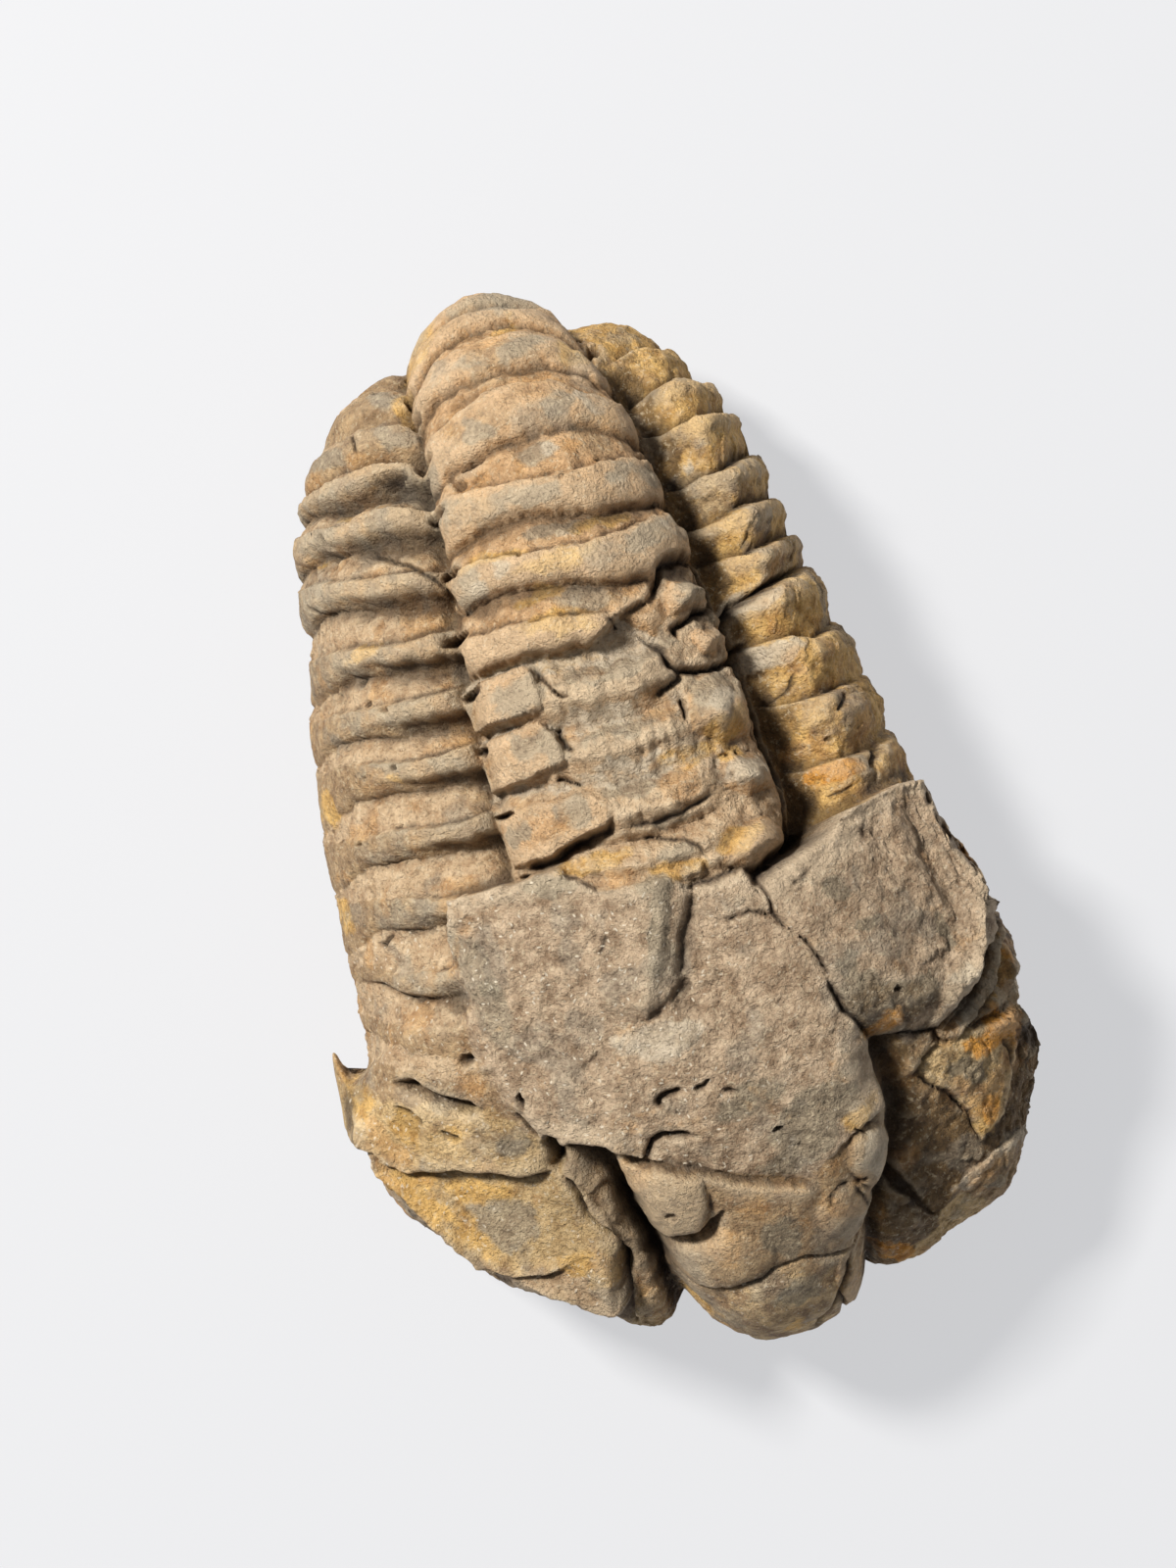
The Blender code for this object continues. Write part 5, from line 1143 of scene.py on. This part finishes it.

# %% Areas
SPINE_SHADE = [(-25.0, -8.0), (-21.4, -8.0), (-21.2, -12.6), (-22.4, -12.9), (-22.5, -16.0),
               (-25.0, -16.0)]
SLAB_END = [(10.7, -14.8), (13.0, -14.6), (17.0, -15.5), (19.0, -16.6), (16.4, -19.3), (12.0, -18.5),
            (11.0, -16.6)]
SHELF = [(11.9, -18.6), (15.8, -19.0), (15.4, -20.5), (14.0, -21.8), (12.2, -22.2)]
SCREE = [(13.4, -31.8), (15.2, -30.4), (16.6, -32.2), (18.6, -32.8), (15.0, -35.0), (9.0, -36.0),
         (9.0, -33.8), (12.0, -33.4)]
RIM_LAYERS = [[(17.4, -20.2), (19.4, -18.8), (21.2, -17.0), (22.6, -14.4), (22.9, -12.4)],
              [(16.8, -19.2), (18.6, -18.0), (20.2, -16.3), (21.6, -13.8)]]
PALE_RIM = [(14.6, -30.2), (16.4, -29.6), (18.0, -28.9), (20.0, -28.1), (21.4, -27.8)]
CHEEK = [(-25.0, -12.0), (-14.0, -16.0), (-10.2, -19.0), (-10.0, -22.0), (-8.0, -27.0), (-9.0, -31.0),
         (-12.0, -31.0), (-9.2, -27.5), (-15.0, -27.2), (-18.7, -23.8), (-22.8, -17.0), (-24.5, -14.0)]
BROWN_CHEEK = [(11.6, -18.2), (16.4, -19.3), (20.0, -17.4), (22.8, -12.6), (25.0, -14.0), (25.0, -27.0),
               (21.0, -28.3), (15.0, -30.2), (11.0, -36.0), (8.0, -36.0), (9.2, -28.0), (11.5, -27.0)]
LIT_CHEEK = [(14.4, -21.9), (16.0, -20.2), (19.0, -20.2), (23.8, -17.0), (22.0, -20.0), (21.0, -24.0),
             (19.5, -26.4), (17.7, -27.5), (16.8, -24.5)]
STRAW_AREAS = [(SHELF, 0.35), (LIT_CHEEK, 0.75), (SCREE, 1.0)]      # outline, share
STAIN_WANDER = ((0.4, 1.5), (0.3, 0.6))     # reach and lump size in mm

# %% Blotches and masks
BLUR_CELLS = GRID // 60         # about 0.8 mm


def blotch(points, size, low, high):
    """Patches of noise between 0 and 1."""
    return ramp(low, high, grain(points, size) + 0.5 * grain(points + 11.0, size * 0.45))


def rib_masks(points, x, y, masks):
    """Grey shell and painted shade on the left ribs, ochre on the right ones with painted shade beside
    the axis, peach on the rings, sand on the low left bands.
    """
    unworn, phase = 1.0 - masks["worn"], masks["left_phase"]
    tile = masks["on_left"] * (masks["left_band"] % 2 == 1) * unworn
    crest = tile * ramp(0.0, 0.12, phase) * ramp(-18.5, -16.5, x) * ramp(27.0, 26.2, y)
    shell = 0.6 * crest * ramp(-11.0, -6.0, y) * blotch(points + 30.0, 2.2, -0.8, 0.2)
    # Painted shade: a darker band on the head side of each left crest near the axis, where its shadow
    # falls.
    wedge_shade = tile * ramp(0.55, 0.25, phase) * ramp(-15.5, -11.0, x) * ramp(27.0, 26.0, y)
    flank = masks["on_right"] * unworn
    ochre = flank * ramp(-4.0, -3.2, y) * (0.45 + 0.55 * blotch(points, 3.4, -0.5, 0.4))
    # Painted shade in the right furrow beside the axis, where the axis casts its shadow.
    furrow_shade = flank * ramp(3.0, 1.4, masks["beyond"]) * ramp(31.0, 28.0, y)
    peach = masks["on_axis"] * unworn * ramp(-6.0, -4.0, y)
    peach = peach * (0.5 + 0.5 * blotch(points + 8.0, 2.6, -0.7, 0.1))
    sand = masks["low_left"] * unworn * ramp(-8.0, -10.5, x)
    return shell, wedge_shade, ochre, furrow_shade, peach, sand


def head_masks(points, x, y, pale):
    """Straw of the head, umber with painted shade in it, and the masks of the left cheek and of its
    flange.
    """
    cheek, flange = inside(x, y, CHEEK, 0.4), inside(x, y, FLANGE, 0.3)
    straw = most(0.85 * cheek * (1.0 - flange), 0.3 * flange,
                 0.4 * ramp(-31.0, -33.0, y) * ramp(9.0, 7.0, x),
                 0.8 * ramp(1.2, 0.8, oval(x, y, SANDY_LUMP)),
                 *[share * inside(x, y, area, 0.3) for area, share in STRAW_AREAS])
    brown = inside(x, y, BROWN_CHEEK, 0.3) * (1.0 - straw) * (1.0 - 0.45 * ramp(-20.6, -19.0, y))
    brown *= 1.0 - 0.25 * ramp(-27.0, -24.0, y) * ramp(20.0, 17.0, x)
    # Painted shade on the slab's turned-down end, which faces away from the lamp.
    slab_end = inside(x, y, SLAB_END, 0.8) * (0.5 + 0.25 * blotch(points + 60.0, 1.4, -0.3, 0.3))
    # Painted shade along the right side of the left head furrow, under its wall.
    furrow = 0.9 * inside(x, y, HEAD_FURROW, 0.4) * ramp(-7.0, -6.0, x + 0.16 * (y + 24.0))
    umber_and_shade = most(most(brown, slab_end) * (1.0 - 0.8 * pale), furrow * (1.0 - straw),
                 0.2 * inside(x, y, SPINE_SHADE, 0.3))
    return straw, umber_and_shade, cheek, flange


def colour_masks(points, masks, height):
    """How strong each layer of the finish is at each point, from 0 to 1."""
    x = wandered(masks["x"], points, STAIN_WANDER, (3.0, 23.0))
    y = wandered(masks["y"], points, STAIN_WANDER, (13.0, 43.0))
    worn, bared = masks["worn"], masks["bared"] * (1.0 - masks["kept"])
    mould = bared * ramp(7.0, 5.0, x)
    shell, wedge_shade, ochre, furrow_shade, peach, sand = rib_masks(points, x, y, masks)
    pale = most(spots(x, y, PALE_SPOTS), 1.3 * cut(x, y, PALE_RIM, 0.5),
                *[0.9 * cut(x, y, layer, 0.32) for layer in RIM_LAYERS],
                0.75 * mould * ramp(0.1, -0.4, bared_bands(x, y)) * ramp(0.0, 1.5, y))
    straw, umber_and_shade, cheek, flange = head_masks(points, x, y, pale)
    slate_and_shade = spots(x, y, SLATE_AND_SHADE_SPOTS)
    sheets = height.reshape(2, GRID, GRID)
    relative = (sheets - box_blur(sheets, BLUR_CELLS)).ravel()
    fine = (sheets - box_blur(sheets, BLUR_CELLS // 3)).ravel()
    gutter = 0.45 * cut(x, y, CHEEK_GUTTER, 0.3) * (0.5 + 0.5 * blotch(points, 0.8, -0.4, 0.3))
    return {
        "ochre": most(ochre, spots(x, y, OCHRE_SPOTS, 0.5)) * (1.0 - 0.8 * slate_and_shade * ramp(-17.5, -16.5, y)),
        "orange": spots(x, y, ORANGE_SPOTS),
        "grey": most(shell, spots(x, y, GREY_SPOTS)),
        "slate_and_shade": slate_and_shade,
        "straw": straw,
        "peach": peach,
        "worn": worn,
        "sand": most(sand, bared, 0.7 * flange),
        # Dark brown rock of the broken right cheek, with painted shade on the slab's end, in the head
        # furrow and in the right furrow.
        "umber_and_shade": most(umber_and_shade, furrow_shade),
        "pale": pale,
        "rust": 0.8 * blotch(points + 100.0, 2.6, 0.05, 0.75) * (1.0 - 0.6 * worn),
        "ash": 0.8 * blotch(points + 120.0, 2.2, 0.1, 0.8),
        # Painted shade in cracks, pits, the deep head furrow, the right cheek's crack and the cheek
        # gutter.
        "crack_and_pit_shade": most(masks["broken"], masks["pits"], 0.95 * cut(x, y, FURROW_SLIT, 0.8),
                     0.8 * inside(x, y, CHEEK_CRACK, 0.2), gutter),
        "flecked": most(worn * (0.35 + 0.65 * ramp(6.0, 0.0, x)), 0.8 * flange, 0.5 * cheek,
                        0.7 * ramp(-13.0, -15.5, x) * ramp(-1.0, -3.5, y),
                        0.5 * ramp(-30.0, -32.0, y)),
        # Painted shade in hollows: where the relief lies below a blurred copy of itself, and in the left
        # wedges.
        "hollow": most(ramp(0.05, 0.7, -relative), 0.3 * wedge_shade, ramp(0.03, 0.24, -fine))
                  * (1.0 - 0.8 * mould),
        # Convex edges, lightened partly as rubbed wear and partly as a painted highlight.
        "edge": most(ramp(0.1, 0.5, relative), ramp(0.03, 0.2, fine))}


for name, values in colour_masks(grid_points, masks, out - drop).items():
    attribute = stone_mesh.attributes.new(name, "FLOAT", "POINT")
    attribute.data.foreach_set("value", np.clip(values[used], 0.0, 1.0).astype(np.float32))

# %% Spend the triangles where the surface bends
stone = bpy.data.objects.new("stone", stone_mesh)
bpy.context.collection.objects.link(stone)
fewer = stone.modifiers.new("fewer_faces", "DECIMATE")
fewer.ratio = FINAL_TRIANGLES / (2 * len(stone_mesh.polygons))
evaluated = stone.evaluated_get(bpy.context.evaluated_depsgraph_get())
final_mesh = bpy.data.meshes.new_from_object(evaluated)
stone.modifiers.clear()
stone.data = final_mesh
final_mesh.shade_smooth()
print("triangles:", len(final_mesh.polygons), "attributes:", len(final_mesh.attributes))

# %% [markdown]
# ## The finish
# Weathered mudstone: clay and silt pressed to stone, dull, with a refractive index near 1.55 and no shine
# where it is broken. Iron rust has stained it ochre, thin grey remains of the shell lie on the crests,
# and the hollows and cracks are darkened with painted shade. Each is one layer over the plain stone, and
# fine noise mottles them all, because even one kind of mudstone never has one colour.

# %% Weathered mudstone
LAYERS = [                      # mask, darker colour, lighter colour, lumps of its edge in mm, strength
    ("peach", "#AC8458", "#DDB486", 1.5, 0.95),
    ("straw", "#AE8C59", "#E6C691", 1.3, 0.9),
    ("worn", "#8F755A", "#CFB596", 0.9, 1.0),
    ("sand", "#B08F6B", "#DBC09C", 1.1, 0.85),
    ("grey", "#857560", "#AC9C82", 0.9, 0.8),
    ("ochre", "#B48744", "#F0C272", 1.1, 0.85),
    # Slate: grey patches, and painted shade on faces that turn away from the lamp.
    ("slate_and_shade", "#6F6452", "#978A72", 1.0, 0.75),
    # Umber: dark brown rock of the broken right cheek, and painted shade on the slab's end, in the left
    # head furrow and beside the axis.
    ("umber_and_shade", "#4D3920", "#80633A", 1.4, 0.9),
    ("orange", "#B87822", "#E5A03A", 0.8, 0.9),
    ("pale", "#B5A288", "#DCCDB4", 0.6, 0.8),
    ("rust", "#A47440", "#DCA866", 0.8, 0.5),
    ("ash", "#75695A", "#A59A87", 0.8, 0.5)]
PLAIN_DARK, PLAIN_LIGHT = "#86694A", "#C0A178"
MOTTLE_SIZE, SPECK_SIZE = 1.3, 0.34         # mm
SPECKS = [("#4B3B26", 0.44, 0.34, 0.4), ("#D9C7A6", 0.57, 0.67, 0.45)]  # colour, noise from, to, strength
# Painted shade: the dark brown laid into hollows, cracks and pits.
CREVICE_SHADE, CREVICE_SHADE_STRENGTH = "#31251A", 0.7
# Lighter edges: partly rubbed wear, partly a painted highlight on convex edges.
EDGE_RUB_AND_HIGHLIGHT, EDGE_RUB_AND_HIGHLIGHT_STRENGTH = "#E2CFB0", 0.32
FLECK, FLECK_STRENGTH = "#E9DCC4", 0.75
FLECK_TURNS = (20.0, 80.0, 140.0)
FLECK_STRETCH = (1.0, 2.2, 1.3)
FLECK_SPACING = 0.42            # mm
FLECK_RARITY = 0.66
BUMPS = ((0.7, 0.45), (0.22, 0.28))         # lump size and height in mm
TONE_NOISE = (0.36, 0.64)       # noise that is all dark, and all light
RAGGED = 1.5                    # span of what noise adds to a mask
LAYER_EDGE = (0.25, 0.75)       # ragged mask where a layer begins, and where it is whole
MASK_GAIN = 4.0                 # a layer fades out where its mask is under a quarter
FLECK_EDGE = (0.21, 0.12)       # cells from its middle to where a fleck ends, and is whole
ROUGHNESS, REFRACTIVE_INDEX, SPECULAR = 0.8, 1.55, 0.35


class Finish:
    """A material, with short calls for the nodes that it needs."""

    def __init__(self, name):
        """An empty material, and the place on the object that its noises read."""
        self.material = bpy.data.materials.new(name)
        self.material.use_nodes = True
        self.tree = self.material.node_tree
        self.place = self.add("TexCoord", {}).outputs["Object"]

    def add(self, kind, inputs, **properties):
        """A node whose inputs are values or other nodes' outputs."""
        node = self.tree.nodes.new("ShaderNode" + kind)
        for name, value in properties.items():
            setattr(node, name, value)
        self.feed(node, inputs)
        return node

    def feed(self, node, inputs):
        """Links outputs to the node's inputs, and writes values into them."""
        for socket, value in inputs.items():
            if isinstance(value, bpy.types.NodeSocket):
                self.tree.links.new(value, node.inputs[socket])
            else:
                node.inputs[socket].default_value = value

    def noise(self, size, detail, roughness=0.5):
        """Noise with lumps of that size in mm."""
        inputs = {"Vector": self.place, "Scale": 1.0 / (size * MM), "Detail": detail,
                  "Roughness": roughness}
        return self.add("TexNoise", inputs).outputs["Fac"]

    def mask(self, name):
        """A mask that is stored on the mesh."""
        return self.add("Attribute", {}, attribute_name=name).outputs["Fac"]

    def math(self, operation, *values, **properties):
        """The result of that operation on the values."""
        return self.add("Math", dict(enumerate(values)), operation=operation, **properties).outputs[0]

    def stretch(self, value, low, high, top=1.0):
        """0 at low, and the top value at high."""
        inputs = {"Value": value, "From Min": low, "From Max": high, "To Max": top}
        return self.add("MapRange", inputs).outputs["Result"]

    def mix(self, amount, below, above):
        """The colour below, covered by the one above."""
        return self.add("Mix", {0: amount, 6: below, 7: above}, data_type="RGBA").outputs[2]


def layered(finish):
    """Plain mottled stone under one ragged layer for each mask."""
    tone = finish.stretch(finish.noise(MOTTLE_SIZE, 6.0, 0.72), *TONE_NOISE)
    colour = finish.mix(tone, srgb(PLAIN_DARK), srgb(PLAIN_LIGHT))
    for name, dark, light, size, strength in LAYERS:
        mask = finish.mask(name)
        ragged = finish.math("MULTIPLY_ADD", finish.noise(size, 4.0), RAGGED, -RAGGED / 2.0)
        amount = finish.stretch(finish.math("ADD", mask, ragged), *LAYER_EDGE, strength)
        near_mask = finish.math("MULTIPLY", mask, MASK_GAIN, use_clamp=True)
        own = finish.mix(tone, srgb(dark), srgb(light))
        colour = finish.mix(finish.math("MULTIPLY", amount, near_mask), colour, own)
    return colour


def flecked(finish, colour):
    """Pale flecks, long and thin, that lie in three directions."""
    mask = finish.mask("flecked")
    for turn in FLECK_TURNS:
        inputs = {"Vector": finish.place, "Rotation": (0.0, 0.0, math.radians(turn)),
                  "Scale": FLECK_STRETCH}
        turned = finish.add("Mapping", inputs, vector_type="TEXTURE").outputs["Vector"]
        cells = finish.add("TexVoronoi", {"Vector": turned, "Scale": 1.0 / (FLECK_SPACING * MM)})
        core = finish.stretch(cells.outputs["Distance"], *FLECK_EDGE)
        number = finish.add("SeparateColor", {0: cells.outputs["Color"]}).outputs[0]
        fleck = finish.math("MULTIPLY", core, finish.math("GREATER_THAN", number, FLECK_RARITY))
        fleck = finish.math("MULTIPLY", finish.math("MULTIPLY", fleck, mask), FLECK_STRENGTH)
        colour = finish.mix(fleck, colour, srgb(FLECK))
    return colour


def bumped(finish):
    """The normal of a grainy surface, coarse grain first."""
    inputs = {}
    for size, depth in BUMPS:
        inputs.update({"Height": finish.noise(size, 4.0, 0.65), "Distance": depth * MM, "Strength": 1.0})
        inputs["Normal"] = finish.add("Bump", inputs).outputs[0]
    return inputs["Normal"]


def mudstone():
    """Layered stone with specks, edges lightened partly as rubbed wear and partly as a painted highlight,
    painted shade in its hollows and cracks, and pale flecks.
    """
    finish = Finish("weathered_mudstone")
    colour = layered(finish)
    speck = finish.noise(SPECK_SIZE, 3.0, 0.6)
    for code, low, high, strength in SPECKS:
        colour = finish.mix(finish.stretch(speck, low, high, strength), colour, srgb(code))
    # Convex edges lightened, partly rubbed wear and partly a painted highlight.
    colour = finish.mix(finish.math("MULTIPLY", finish.mask("edge"), EDGE_RUB_AND_HIGHLIGHT_STRENGTH), colour, srgb(EDGE_RUB_AND_HIGHLIGHT))
    # Painted shade, dark brown, in the hollows and in the cracks and pits.
    shaded = finish.math("MULTIPLY", finish.mask("hollow"), CREVICE_SHADE_STRENGTH)
    colour = finish.mix(finish.math("MAXIMUM", shaded, finish.mask("crack_and_pit_shade")), colour, srgb(CREVICE_SHADE))
    finish.feed(finish.tree.nodes["Principled BSDF"], {
        "Base Color": flecked(finish, colour), "Normal": bumped(finish),
        "Roughness": ROUGHNESS, "IOR": REFRACTIVE_INDEX, "Specular IOR Level": SPECULAR})
    return finish.material


final_mesh.materials.clear()
final_mesh.materials.append(mudstone())
print("material:", final_mesh.materials[0].name)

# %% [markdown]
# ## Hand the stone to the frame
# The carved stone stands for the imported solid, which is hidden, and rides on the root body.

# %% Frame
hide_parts(STONE)
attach(stone, "root")
